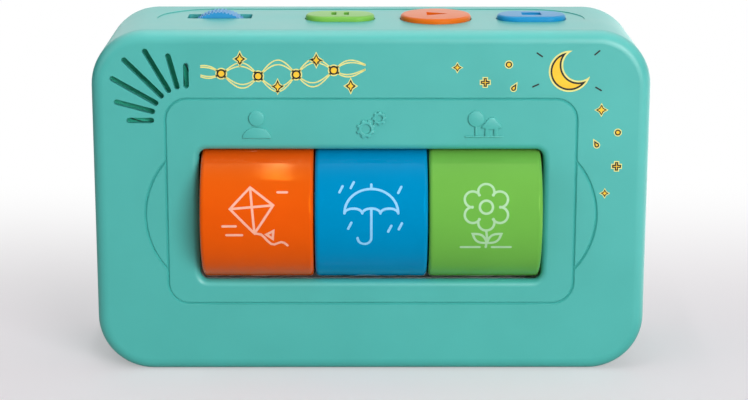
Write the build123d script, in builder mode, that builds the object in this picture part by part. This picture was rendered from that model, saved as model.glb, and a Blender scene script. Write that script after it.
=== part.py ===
"""Audio story player: three picture drums in the front of a case, turned by hand to choose a story.

Frame: X to the right, Y to the back, Z up, millimetres. The origin is the centre of the case's base.
"""

import os
from math import acos, degrees, sqrt

from build123d import *

os.makedirs("parts", exist_ok=True)

# ------------------------------------------------------------------ driving dimensions

# Case: a deep front housing closed by a shallow rear cover
case_width = 180.0
case_depth = 54.0
case_height = 113.5
case_corner_radius = 18.0
front_edge_radius = 4.0
back_edge_radius = 3.5
wall = 2.5
cover_depth = 4.0
cover_lip_length = 3.0
cover_lip_wall = 1.2
hand_fit = 0.15

# Drums and the steel shaft that carries them
drum_count = 3
drum_radius = 22.5
drum_length = 36.4
drum_spacing = 0.4
drum_axis_depth = 10.8
drum_axis_z = 52.85
drum_wall = 2.0
drum_edge_radius = 1.4
drum_web = 2.0
drum_web_recess = 0.6
drum_rib_length = 7.0
drum_rib_wall = 1.2
drum_ribs = 4
drum_rib_start = 45
drum_hub_radius = 5.0
shaft_radius = 2.5
shaft_flat_depth = 0.6
shaft_overhang = 2.2
clip_radius = 4.2
clip_thickness = 0.6
clip_mouth = 3.4
clip_groove_radius = 2.05
clip_groove_width = 0.7
running_gap = 0.05
end_play = 0.2

# Click mechanism at the right end of each drum: four notches for the four pictures
cap_recess = 3.0
cap_thickness = 2.0
cap_boss_height = 0.6
crown_inner_radius = 10.0
crown_outer_radius = 14.0
crown_height = 1.2
notch_half_width = 1.3
notch_depth = 0.9
nose_clearance = 0.15
notch_turns = (0, 90, 180, 270)
nose_turns = (90, 270)
spring_arm_width = 4.0
spring_arm_thickness = 0.8
spring_arm_gap = 0.3

# Magnets in the drums, read through the air by sensors on the main board
magnet_radius = 2.0
magnet_thickness = 2.0
magnet_pocket_wall = 1.2
magnet_pocket_floor = 0.8
magnet_track_spacing = 10.0
magnet_seat_step = 0.15
magnet_code = ((90, -1), (180, 1), (270, -1), (270, 1))
sensor_width = 4.1
sensor_height = 3.0
sensor_depth = 1.8
sensor_lead = 0.45
sensor_lead_pitch = 1.27
sensor_window_length = 20.0
sensor_window_height = 8.0

# Window, its rounded lip, and the grooves around it
window_side_gap = 0.7
window_long_gap = 0.95
window_corner_radius = 2.5
window_lip_radius = 2.2
panel_side_margin = 10.6
panel_top_margin = 16.8
panel_bottom_margin = 7.85
panel_corner_radius = 7.0
groove_width = 1.0
groove_depth = 0.65
finger_arc_radius = 27.3
finger_arc_reach = 7.0

# Loudspeaker grille: a quarter fan of slots about the panel's upper left corner
grille_slot_width = 1.8
grille_inner_radius = 11.4
grille_ray_lengths = (6.4, 10.3, 14.6, 16.4, 15.8, 11.8, 7.1)

# Loudspeaker
speaker_radius = 14.0
speaker_gasket = 0.6
speaker_rim = 1.2
speaker_basket_depth = 6.0
speaker_mouth_radius = 12.2
cone_edge_radius = 12.0
cone_neck_radius = 4.0
cone_depth = 3.8
cone_cap_depth = 2.4
cone_wall = 0.4
speaker_seat_wall = 2.0
speaker_seat_height = 4.0
magnet_cup_radius = 8.0
magnet_cup_depth = 3.6
basket_bore_radius = 4.0
strap_boss_radius = 2.9
strap_thickness = 1.6
strap_width = 4.8

# Control strip on top
recess_end_margin = 19.4
recess_width = 38.0
recess_depth = 0.25
pill_length = 22.7
pill_width = 13.4
play_diameter = 23.2
play_x = 21.4
button_pitch = 31.6
button_rise = 1.4
button_travel = 1.5
button_wall = 1.6
button_top_wall = 1.8
button_edge_radius = 1.0
button_flange = 1.2
button_flange_thickness = 1.2
button_hole_gap = 0.3
plunger_radius = 2.5
plunger_drop = 2.2
mat_thickness = 1.0
dome_base_radius = 4.6
dome_top_radius = 3.0
dome_pressed_height = 1.0
dome_wall = 0.8
button_board_width = 27.0
button_board_margin = 3.2
button_board_corner = 1.5
button_screw_reach = 10.3
ribbon_width = 14.0
ribbon_thickness = 0.3
ribbon_overlap = 5.0
ribbon_bend = 1.0

# Volume thumbwheel
wheel_x = -50.1
wheel_radius = 11.6
wheel_rise = 1.75
wheel_thickness = 7.6
wheel_rim_wall = 3.0
wheel_web = 2.4
wheel_hub_radius = 4.4
wheel_grooves = 60
wheel_groove_depth = 0.3
wheel_groove_width = 0.6
slot_length = 21.2
slot_width = 9.0
slot_corner_radius = 1.0
pot_size = 11.0
pot_depth = 5.2
pot_corner_radius = 1.0
pot_gap = 0.5
pot_shaft_radius = 2.0
pot_shaft_flat = 0.5
pot_shaft_seat = 4.0
wheel_screw_radius = 0.8
wheel_screw_head_radius = 1.7
wheel_screw_head_height = 1.1

# Cradle behind the drums
cradle_wall = 2.0
cradle_gap = 1.5
cheek_gap = 2.0
cheek_front_gap = 1.5
ear_length = 10.0
ear_height = 8.0
ear_offset_z = 22.35
ear_screw_inset = 5.5
cradle_seat = 6.0
cradle_rib_height = 2.0
gusset_thickness = 1.5
gusset_width = 2.6
gusset_length = 6.0

# Boards
board_thickness = 1.6
board_standoff = 4.2
main_board_half_width = 58.0
main_board_gap = 3.2
main_board_top_z = 100.0
main_board_tab_width = 16.0
main_board_tab_margin = 0.85
board_parts_z = 76.0
chip_thickness = 1.6
sound_chip_size = 12.0
sound_chip_x = 8.0
amplifier_length = 6.0
amplifier_width = 5.0
amplifier_x = -14.0
capacitor_x = -26.0
capacitor_radius = 3.15
capacitor_height = 5.4
socket_length = 6.0
socket_width = 5.0
socket_depth = 4.5
speaker_socket_x = -38.0
battery_socket_x = 30.0
board_screw_x = 50.0
board_screw_low_z = 56.0
board_screw_high_z = 86.0

# Battery bay for three AAA cells, opening to the back
cell_radius = 5.25
cell_length = 44.5
cell_nub_radius = 1.9
cell_nub_length = 0.8
cell_gap = 0.6
ridge_half_width = 1.8
ridge_height = 2.0
ridge_length = 25.0
contact_space = 3.0
contact_thickness = 0.4
contact_width = 8.0
leaf_thickness = 0.35
leaf_width = 4.0
leaf_span = 7.2
bay_bottom_z = 11.0
bay_wall = 1.5
bay_ledge = 3.0
door_thickness = 2.0
door_corner_radius = 3.0
door_gap = 0.2
door_screw_margin = 5.0
door_boss_radius = 4.0
door_boss_height = 1.2
door_hook_length = 2.2
door_hook_width = 8.0
door_hook_thickness = 1.5
door_hook_x = 16.0
door_hook_root = 2.0

# Screws, all self-tapping with pan heads
screw_radius = 1.3
screw_head_radius = 2.5
screw_head_height = 1.8
case_screw_length = 12.0
short_screw_length = 6.0
pilot_gap = 0.05
screw_hole_gap = 0.3
boss_wall = 1.9
case_screw_inset = 12.0
case_screw_seat = 9.0
cup_floor = 2.0
side_screw_z = 64.0
top_screw_x = -31.0
top_screw_drop = 8.0

# ------------------------------------------------------------------ derived places

front_y = -case_depth / 2
back_y = case_depth / 2
parting_y = back_y - cover_depth
inner_front_y = front_y + wall
inner_back_y = back_y - wall
case_centre_z = case_height / 2
ceiling_z = case_height - wall
corner_x = case_width / 2 - case_corner_radius
corner_z = case_height - case_corner_radius

drum_axis_y = front_y + drum_axis_depth
drum_axis = (drum_axis_y, drum_axis_z)
drum_pitch = drum_length + drum_spacing
bank_half = drum_count * drum_pitch / 2 - drum_spacing / 2
drum_names = ("left", "middle", "right")
drum_centres = [drum_pitch * (place - (drum_count - 1) / 2) for place in range(drum_count)]
drum_starts = [centre - drum_length / 2 for centre in drum_centres]
shaft_flat = shaft_radius - shaft_flat_depth
hub_bore = shaft_radius + running_gap
drum_inner_radius = drum_radius - drum_wall

cap_face = drum_length - cap_recess
cap_start = cap_face - cap_thickness
crown_top = cap_face + crown_height
spring_arm_start = crown_top + spring_arm_gap
spring_bush_start = cap_face + cap_boss_height + end_play / 2
spring_bush_end = drum_pitch - end_play
notch_slope = notch_half_width / notch_depth

window_half_width = bank_half + window_side_gap
wall_reach = drum_axis_y - inner_front_y
window_half_height = sqrt(drum_radius**2 - wall_reach**2) + window_long_gap
panel_half_width = window_half_width + panel_side_margin
panel_top_z = drum_axis_z + window_half_height + panel_top_margin
panel_bottom_z = drum_axis_z - window_half_height - panel_bottom_margin
finger_arc_x = panel_half_width + finger_arc_reach - finger_arc_radius
finger_arc_half = degrees(acos((panel_half_width - finger_arc_x) / finger_arc_radius))
grille_x = panel_corner_radius - panel_half_width
grille_z = panel_top_z - panel_corner_radius

speaker_front_y = inner_front_y + speaker_gasket
speaker_cup_y = speaker_front_y + speaker_basket_depth
strap_y = speaker_cup_y + magnet_cup_depth
strap_reach = case_corner_radius - wall - screw_head_radius - hand_fit
strap_boss_distance = strap_reach * sqrt(2)
strap_screws = [(-corner_x + side * strap_reach, corner_z + side * strap_reach) for side in (-1, 1)]

pause_x = play_x - button_pitch
stop_x = play_x + button_pitch
button_top_z = case_height + button_rise
flange_bottom_z = ceiling_z - button_flange_thickness
plunger_z = flange_bottom_z - plunger_drop
dome_height = button_travel + dome_pressed_height
mat_top_z = plunger_z - running_gap - dome_height
mat_bottom_z = mat_top_z - mat_thickness
button_board_z = mat_bottom_z - board_thickness
button_board_left = pause_x - pill_length / 2 - button_board_margin
button_board_right = stop_x + pill_length / 2 + button_board_margin
button_board_x = (button_board_left + button_board_right) / 2
button_board_length = button_board_right - button_board_left
on_its_base = (Align.CENTER, Align.CENTER, Align.MIN)
button_screws = [
    ((pause_x + play_x) / 2, -button_screw_reach),
    ((pause_x + play_x) / 2, button_screw_reach),
    ((play_x + stop_x) / 2, -button_screw_reach),
    ((play_x + stop_x) / 2, button_screw_reach),
]

cradle_inner_radius = drum_radius + cradle_gap
cradle_outer_radius = cradle_inner_radius + cradle_wall
board_front_y = drum_axis_y + cradle_outer_radius + board_standoff
board_back_y = board_front_y + board_thickness

wheel_z = case_height + wheel_rise - wheel_radius
pot_front_y = board_front_y - pot_depth
wheel_back_y = pot_front_y - pot_gap
wheel_front_y = wheel_back_y - wheel_thickness
wheel_y = (wheel_front_y + wheel_back_y) / 2
pot_flat = pot_shaft_radius - pot_shaft_flat
main_board_tab_z = wheel_z + pot_size / 2 + main_board_tab_margin

cheek_inner_x = bank_half + cheek_gap
cheek_outer_x = cheek_inner_x + cradle_wall
shaft_end_x = cheek_outer_x + shaft_overhang
sensor_front_y = drum_axis_y + cradle_inner_radius
cheek_front_y = inner_front_y + cheek_front_gap
ear_y = inner_front_y + cradle_seat
ear_screw_x = cheek_outer_x + ear_screw_inset
cradle_screws_at = [
    (side * ear_screw_x, drum_axis_z + level * ear_offset_z) for side in (-1, 1) for level in (-1, 1)
]
board_screws_low = [(-board_screw_x, board_screw_low_z), (board_screw_x, board_screw_low_z)]
board_screws_high = [(-board_screw_x, board_screw_high_z), (board_screw_x, board_screw_high_z)]

cell_pitch = 2 * cell_radius + cell_gap
bay_length = cell_length + 2 * contact_space
bay_height = 3 * cell_pitch
bay_centre_z = bay_bottom_z + bay_height / 2
main_board_bottom_z = bay_bottom_z + bay_height + bay_wall + main_board_gap
door_inner_y = back_y - door_thickness
bay_floor_y = door_inner_y - cell_pitch
cell_y = bay_floor_y + cell_pitch / 2
cell_levels = [bay_bottom_z + cell_pitch * (level + 0.5) for level in range(3)]
door_bottom_z = bay_bottom_z - bay_ledge
door_top_z = bay_bottom_z + bay_height + bay_wall + 2 * door_screw_margin
door_width = bay_length + 2 * bay_ledge
door_centre_z = (door_bottom_z + door_top_z) / 2
door_height = door_top_z - door_bottom_z
door_screw_z = door_top_z - door_screw_margin
frame_inner_y = door_inner_y - door_hook_thickness - door_gap - bay_wall
frame_bottom_z = door_bottom_z - door_hook_length - door_gap - bay_wall
frame_top_z = door_top_z + bay_wall
frame_centre_z = (frame_bottom_z + frame_top_z) / 2
frame_height = frame_top_z - frame_bottom_z
hook_height = door_hook_length + door_hook_root
hook_z = door_bottom_z + (door_hook_root - door_hook_length) / 2
hook_slot_height = hook_height + 2 * door_gap

pilot_radius = screw_radius + pilot_gap
screw_hole_radius = screw_radius + screw_hole_gap
boss_radius = pilot_radius + boss_wall
screw_well_radius = screw_head_radius + screw_hole_gap
screw_cup_radius = screw_well_radius + wall / 2
case_seat_y = back_y - case_screw_seat
case_screws_at = [
    (-case_width / 2 + case_screw_inset, case_screw_inset),
    (case_width / 2 - case_screw_inset, case_screw_inset),
    (case_width / 2 - case_screw_inset, case_height - case_screw_inset),
    (-case_width / 2 + case_screw_inset, side_screw_z),
    (top_screw_x, case_height - top_screw_drop),
]


# ------------------------------------------------------------------ shared planes and shapes


def facing_front(y):
    """Plane across the depth at y, with X to the right, Z up and its normal to the front."""
    return Plane.XZ.offset(-y)


def facing_right(x):
    """Plane across the width at x, with Y to the right, Z up and its normal along +X."""
    return Plane.YZ.offset(x)


def facing_up(z):
    """Level plane at z, with X to the right and Y to the back."""
    return Plane.XY.offset(z)


def case_outline(inset, mode=Mode.ADD):
    """The case's rounded outline, drawn smaller by inset all round, in a plane that faces front."""
    with Locations((0, case_centre_z)):
        RectangleRounded(
            case_width - 2 * inset,
            case_height - 2 * inset,
            case_corner_radius - inset,
            mode=mode,
        )


def d_section(radius, flat):
    """Round section with one flat on top, at that distance from the centre."""
    Circle(radius)
    with Locations((0, flat + radius)):
        Rectangle(2 * radius, 2 * radius, mode=Mode.SUBTRACT)


def groove_section(path):
    """V section of a groove at the start of its path on the front face, its point towards the back."""
    section_plane = Plane(origin=path @ 0, x_dir=(0, 1, 0), z_dir=path % 0)
    with BuildSketch(section_plane) as v_section:
        with BuildLine():
            Polyline(
                (-groove_depth, groove_width),
                (groove_depth, 0),
                (-groove_depth, -groove_width),
                close=True,
            )
        make_face()
    return v_section.sketch


def button_outline(is_round, growth):
    """A control's outline, grown all round: a disc for play, a pill for the other two."""
    if is_round:
        Circle(play_diameter / 2 + growth)
    else:
        SlotOverall(pill_length + 2 * growth, pill_width + 2 * growth)


def screw(length, radius=screw_radius, head_radius=screw_head_radius, head_height=screw_head_height):
    """Pan-head screw: the shank stands on the plane and the head hangs below it."""
    Cylinder(radius, length, align=(Align.CENTER, Align.CENTER, Align.MIN))
    Cylinder(head_radius, head_height, align=(Align.CENTER, Align.CENTER, Align.MAX))


def click_v(base_x, turn, depth):
    """V section across the crown's ring, from its base towards -X, at one quarter turn of the drum."""
    outwards = Vector(0, 1, 0).rotate(Axis.X, turn)
    centre = Vector(base_x, drum_axis_y, drum_axis_z)
    section_plane = Plane(origin=centre + outwards * crown_inner_radius, x_dir=(1, 0, 0), z_dir=outwards)
    with BuildSketch(section_plane) as v_section:
        with BuildLine():
            Polyline((0, notch_slope * depth), (-depth, 0), (0, -notch_slope * depth), close=True)
        make_face()
    return v_section.sketch


def magnet_plane(middle_x, turn, track):
    """Plane at the inner face of one magnet, with its normal away from the drum axis."""
    outwards = Vector(0, 1, 0).rotate(Axis.X, turn)
    inner_face = drum_inner_radius - magnet_seat_step - magnet_thickness
    centre = Vector(middle_x + track * magnet_track_spacing / 2, drum_axis_y, drum_axis_z)
    return Plane(origin=centre + outwards * inner_face, x_dir=(1, 0, 0), z_dir=outwards)


def half_ring(outer_radius, inner_radius):
    """The rear half of a ring about the drum axis, in a plane that faces right."""
    with Locations(drum_axis):
        Circle(outer_radius)
        Circle(inner_radius, mode=Mode.SUBTRACT)
        with Locations((-outer_radius, 0)):
            Rectangle(2 * outer_radius, 2 * outer_radius, mode=Mode.SUBTRACT)


# ------------------------------------------------------------------ front housing

with BuildPart() as front_housing:
    # outer body with its rounded front edge, then the hollow open to the back
    with BuildSketch(facing_front(front_y)):
        case_outline(0)
    extrude(amount=front_y - parting_y)
    fillet(front_housing.faces().sort_by(Axis.Y)[0].edges(), front_edge_radius)
    with BuildSketch(facing_front(inner_front_y)):
        case_outline(wall)
    extrude(amount=inner_front_y - parting_y, mode=Mode.SUBTRACT)

    # drum window with its rounded front lip
    with BuildSketch(facing_front(front_y)):
        with Locations((0, drum_axis_z)):
            RectangleRounded(2 * window_half_width, 2 * window_half_height, window_corner_radius)
    extrude(amount=-wall, mode=Mode.SUBTRACT)
    front_face = front_housing.faces().sort_by(Axis.Y)[0]
    fillet(front_face.inner_wires()[0].edges(), window_lip_radius)

    # V groove that frames the panel around the window
    with BuildLine(facing_front(front_y)) as panel_line:
        FilletPolyline(
            (-panel_half_width, panel_bottom_z),
            (panel_half_width, panel_bottom_z),
            (panel_half_width, panel_top_z),
            (-panel_half_width, panel_top_z),
            radius=panel_corner_radius,
            close=True,
        )
    panel_wire = panel_line.wires()[0]
    sweep(groove_section(panel_wire), path=panel_wire, transition=Transition.RIGHT, mode=Mode.SUBTRACT)

    # shallow finger arcs at both sides of the panel
    for arc_x, arc_middle in ((finger_arc_x, 0), (-finger_arc_x, 180)):
        with BuildLine(facing_front(front_y)) as finger_line:
            CenterArc(
                (arc_x, drum_axis_z),
                finger_arc_radius,
                arc_middle - finger_arc_half,
                2 * finger_arc_half,
            )
        finger_wire = finger_line.wires()[0]
        sweep(groove_section(finger_wire), path=finger_wire, mode=Mode.SUBTRACT)

    # loudspeaker grille
    with BuildSketch(facing_front(front_y)):
        with Locations((grille_x, grille_z)):
            for ray, length in enumerate(grille_ray_lengths):
                angle = 90 + 90 * ray / (len(grille_ray_lengths) - 1)
                with PolarLocations(grille_inner_radius + length / 2, 1, angle):
                    SlotCenterToCenter(length, grille_slot_width)
    extrude(amount=-wall, mode=Mode.SUBTRACT)

    # loudspeaker seat ring in the corner, and the two bosses for its strap
    with BuildSketch(facing_front(inner_front_y)):
        with Locations((-corner_x, corner_z)):
            Circle(speaker_radius + 2 * hand_fit + speaker_seat_wall)
            Circle(speaker_radius + 2 * hand_fit, mode=Mode.SUBTRACT)
    extrude(amount=-speaker_seat_height)
    with BuildSketch(facing_front(strap_y)):
        with Locations(*strap_screws):
            Circle(strap_boss_radius)
            Circle(pilot_radius, mode=Mode.SUBTRACT)
    extrude(amount=strap_y - inner_front_y)

    # posts for the cradle, the main board and the case screws, each with a pilot hole
    for seat_y, places in (
        (ear_y, cradle_screws_at),
        (board_front_y, board_screws_high),
        (case_seat_y, case_screws_at),
    ):
        with BuildSketch(facing_front(seat_y)):
            with Locations(*places):
                Circle(boss_radius)
                Circle(pilot_radius, mode=Mode.SUBTRACT)
        extrude(amount=seat_y - inner_front_y)

    # control strip: the shallow recess, the button holes and the thumbwheel slot
    with BuildSketch(facing_up(case_height)):
        SlotOverall(case_width - 2 * recess_end_margin, recess_width)
    extrude(amount=-recess_depth, mode=Mode.SUBTRACT)
    with BuildSketch(facing_up(case_height)):
        with Locations((pause_x, 0), (stop_x, 0)):
            SlotOverall(pill_length + 2 * button_hole_gap, pill_width + 2 * button_hole_gap)
        with Locations((play_x, 0)):
            Circle(play_diameter / 2 + button_hole_gap)
        with Locations((wheel_x, wheel_y)):
            RectangleRounded(slot_length, slot_width, slot_corner_radius)
    extrude(amount=-wall, mode=Mode.SUBTRACT)

    # posts that hang from the ceiling and carry the button board
    with BuildSketch(facing_up(mat_bottom_z)):
        with Locations(*button_screws):
            Circle(boss_radius)
            Circle(pilot_radius, mode=Mode.SUBTRACT)
    extrude(amount=ceiling_z - mat_bottom_z)

front_housing.part.label = "front_housing"
export_step(front_housing.part, "parts/front_housing.step")

# ------------------------------------------------------------------ rear cover

with BuildPart() as rear_cover:
    # shallow dish with a rounded back edge
    with BuildSketch(facing_front(parting_y)):
        case_outline(0)
    extrude(amount=-cover_depth)
    fillet(rear_cover.faces().sort_by(Axis.Y)[-1].edges(), back_edge_radius)
    with BuildSketch(facing_front(parting_y)):
        case_outline(wall)
    extrude(amount=parting_y - inner_back_y, mode=Mode.SUBTRACT)

    # lip that locates the cover inside the housing
    with BuildSketch(facing_front(inner_back_y)):
        case_outline(wall + hand_fit)
        case_outline(wall + hand_fit + cover_lip_wall, Mode.SUBTRACT)
    extrude(amount=inner_back_y - parting_y + cover_lip_length)

    # screw cups that seat on the housing's posts
    with BuildSketch(facing_front(inner_back_y)):
        with Locations(*case_screws_at):
            Circle(screw_cup_radius)
    extrude(amount=inner_back_y - case_seat_y)

    # thick frame round the battery bay, the bay's walls, and the post for the door's screw
    with BuildSketch(facing_front(inner_back_y)):
        with Locations((0, frame_centre_z)):
            RectangleRounded(door_width + 2 * bay_wall, frame_height, door_corner_radius)
    extrude(amount=inner_back_y - frame_inner_y)
    with BuildSketch(facing_front(inner_back_y)):
        with Locations((0, bay_centre_z)):
            Rectangle(bay_length + 2 * bay_wall, bay_height + 2 * bay_wall)
    extrude(amount=inner_back_y - bay_floor_y + bay_wall)
    with BuildSketch(facing_front(inner_back_y)):
        with Locations((0, door_screw_z)):
            Circle(boss_radius)
    extrude(amount=inner_back_y - door_inner_y + short_screw_length + bay_wall)

    # seat of the door, its two hook slots, and the pocket under its screw
    with BuildSketch(facing_front(back_y)):
        with Locations((0, door_centre_z)):
            RectangleRounded(door_width + 2 * door_gap, door_height + 2 * door_gap, door_corner_radius)
    extrude(amount=door_thickness, mode=Mode.SUBTRACT)
    with BuildSketch(facing_front(door_inner_y)):
        with Locations((-door_hook_x, hook_z), (door_hook_x, hook_z)):
            Rectangle(door_hook_width + 2 * door_gap, hook_slot_height)
    extrude(amount=door_hook_thickness + door_gap, mode=Mode.SUBTRACT)
    with BuildSketch(facing_front(door_inner_y)):
        with Locations((0, door_screw_z)):
            Circle(door_boss_radius + door_gap)
    extrude(amount=door_boss_height + door_gap, mode=Mode.SUBTRACT)

    # hollow of the bay, with low ridges that keep the cells apart
    with BuildSketch(facing_front(door_inner_y)):
        with Locations((0, bay_centre_z)):
            Rectangle(bay_length, bay_height)
    extrude(amount=cell_pitch, mode=Mode.SUBTRACT)
    for level in cell_levels[1:]:
        ridge_z = level - cell_pitch / 2
        with BuildSketch(facing_right(-ridge_length / 2)):
            with BuildLine():
                Polyline(
                    (bay_floor_y, ridge_z - ridge_half_width),
                    (bay_floor_y + ridge_height, ridge_z),
                    (bay_floor_y, ridge_z + ridge_half_width),
                    close=True,
                )
            make_face()
        extrude(amount=ridge_length)

    # wells and holes of the case screws, and the pilot hole of the door's screw
    with BuildSketch(facing_front(back_y)):
        with Locations(*case_screws_at):
            Circle(screw_well_radius)
    extrude(amount=back_y - case_seat_y - cup_floor, mode=Mode.SUBTRACT)
    with BuildSketch(facing_front(back_y)):
        with Locations(*case_screws_at):
            Circle(screw_hole_radius)
    extrude(amount=back_y - case_seat_y, mode=Mode.SUBTRACT)
    with BuildSketch(facing_front(door_inner_y)):
        with Locations((0, door_screw_z)):
            Circle(pilot_radius)
    extrude(amount=short_screw_length + screw_hole_gap, mode=Mode.SUBTRACT)

rear_cover.part.label = "rear_cover"
export_step(rear_cover.part, "parts/rear_cover.step")

with BuildPart() as case_screws:
    for x, z in case_screws_at:
        with Locations(Location(facing_front(case_seat_y + cup_floor)) * Location((x, z, 0))):
            screw(case_screw_length)

case_screws.part.label = "case_screws"
export_step(case_screws.part, "parts/case_screws.step")

# ------------------------------------------------------------------ battery bay

with BuildPart() as battery_door:
    with BuildSketch(facing_front(back_y)):
        with Locations((0, door_centre_z)):
            RectangleRounded(door_width, door_height, door_corner_radius - door_gap)
    extrude(amount=door_thickness)

    # two hooks at the lower edge and the boss under the screw's head
    with BuildSketch(facing_front(door_inner_y)):
        with Locations((-door_hook_x, hook_z), (door_hook_x, hook_z)):
            Rectangle(door_hook_width, hook_height)
    extrude(amount=door_hook_thickness)
    with BuildSketch(facing_front(door_inner_y)):
        with Locations((0, door_screw_z)):
            Circle(door_boss_radius)
    extrude(amount=door_boss_height)

    # well and hole of the screw
    with BuildSketch(facing_front(back_y)):
        with Locations((0, door_screw_z)):
            Circle(screw_well_radius)
    extrude(amount=door_thickness, mode=Mode.SUBTRACT)
    with BuildSketch(facing_front(back_y)):
        with Locations((0, door_screw_z)):
            Circle(screw_hole_radius)
    extrude(amount=door_thickness + door_boss_height, mode=Mode.SUBTRACT)

battery_door.part.label = "battery_door"
export_step(battery_door.part, "parts/battery_door.step")

with BuildPart() as battery_door_screw:
    with Locations(Location(facing_front(door_inner_y)) * Location((0, door_screw_z, 0))):
        screw(short_screw_length)

battery_door_screw.part.label = "battery_door_screw"
export_step(battery_door_screw.part, "parts/battery_door_screw.step")

# three AAA cells in series, every other one turned round
with BuildPart() as battery_cells:
    for place, level in enumerate(cell_levels):
        nub_side = 1 if place % 2 == 0 else -1
        can_length = cell_length - cell_nub_length
        with Locations((-nub_side * cell_nub_length / 2, cell_y, level)):
            Cylinder(cell_radius, can_length, rotation=(0, 90, 0))
        with Locations((nub_side * (cell_length - cell_nub_length) / 2, cell_y, level)):
            Cylinder(cell_nub_radius, cell_nub_length, rotation=(0, 90, 0))

battery_cells.part.label = "battery_cells"
export_step(battery_cells.part, "parts/battery_cells.step")

# contact plates on the bay's end walls: one single and one that bridges two cells at each end
for side_name, side, bridged in (("left", -1, (0, 1)), ("right", 1, (1, 2))):
    single = 2 if side < 0 else 0
    with BuildPart() as battery_contacts:
        wall_x = side * bay_length / 2
        plate_x = side * (bay_length / 2 - contact_thickness)
        bridge_z = (cell_levels[bridged[0]] + cell_levels[bridged[1]]) / 2
        with BuildSketch(facing_right(wall_x)):
            with Locations((cell_y, bridge_z)):
                Rectangle(contact_width, cell_pitch + contact_width)
            with Locations((cell_y, cell_levels[single])):
                Rectangle(contact_width, contact_width)
        extrude(amount=-side * contact_thickness)
        for place, level in enumerate(cell_levels):
            nub_here = (place % 2 == 0) == (side > 0)
            reach = contact_space - contact_thickness - running_gap
            if nub_here:
                with BuildSketch(facing_right(plate_x)):
                    with Locations((cell_y, level)):
                        Circle(cell_nub_radius)
                extrude(amount=-side * reach)
            else:
                # bowed leaf that presses on the flat end of the cell
                with BuildSketch(facing_up(level - leaf_width / 2)):
                    with BuildLine():
                        ThreePointArc(
                            (plate_x, cell_y - leaf_span / 2),
                            (plate_x - side * (reach - leaf_thickness / 2), cell_y),
                            (plate_x, cell_y + leaf_span / 2),
                        )
                    trace(line_width=leaf_thickness)
                extrude(amount=leaf_width)
                with BuildSketch(facing_right(wall_x)):
                    with Locations((cell_y, level)):
                        Rectangle(2 * contact_width, contact_width)
                extrude(amount=side * contact_width, mode=Mode.SUBTRACT)
    battery_contacts.part.label = f"battery_contacts_{side_name}"
    export_step(battery_contacts.part, f"parts/battery_contacts_{side_name}.step")

# ------------------------------------------------------------------ picture drums

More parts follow.
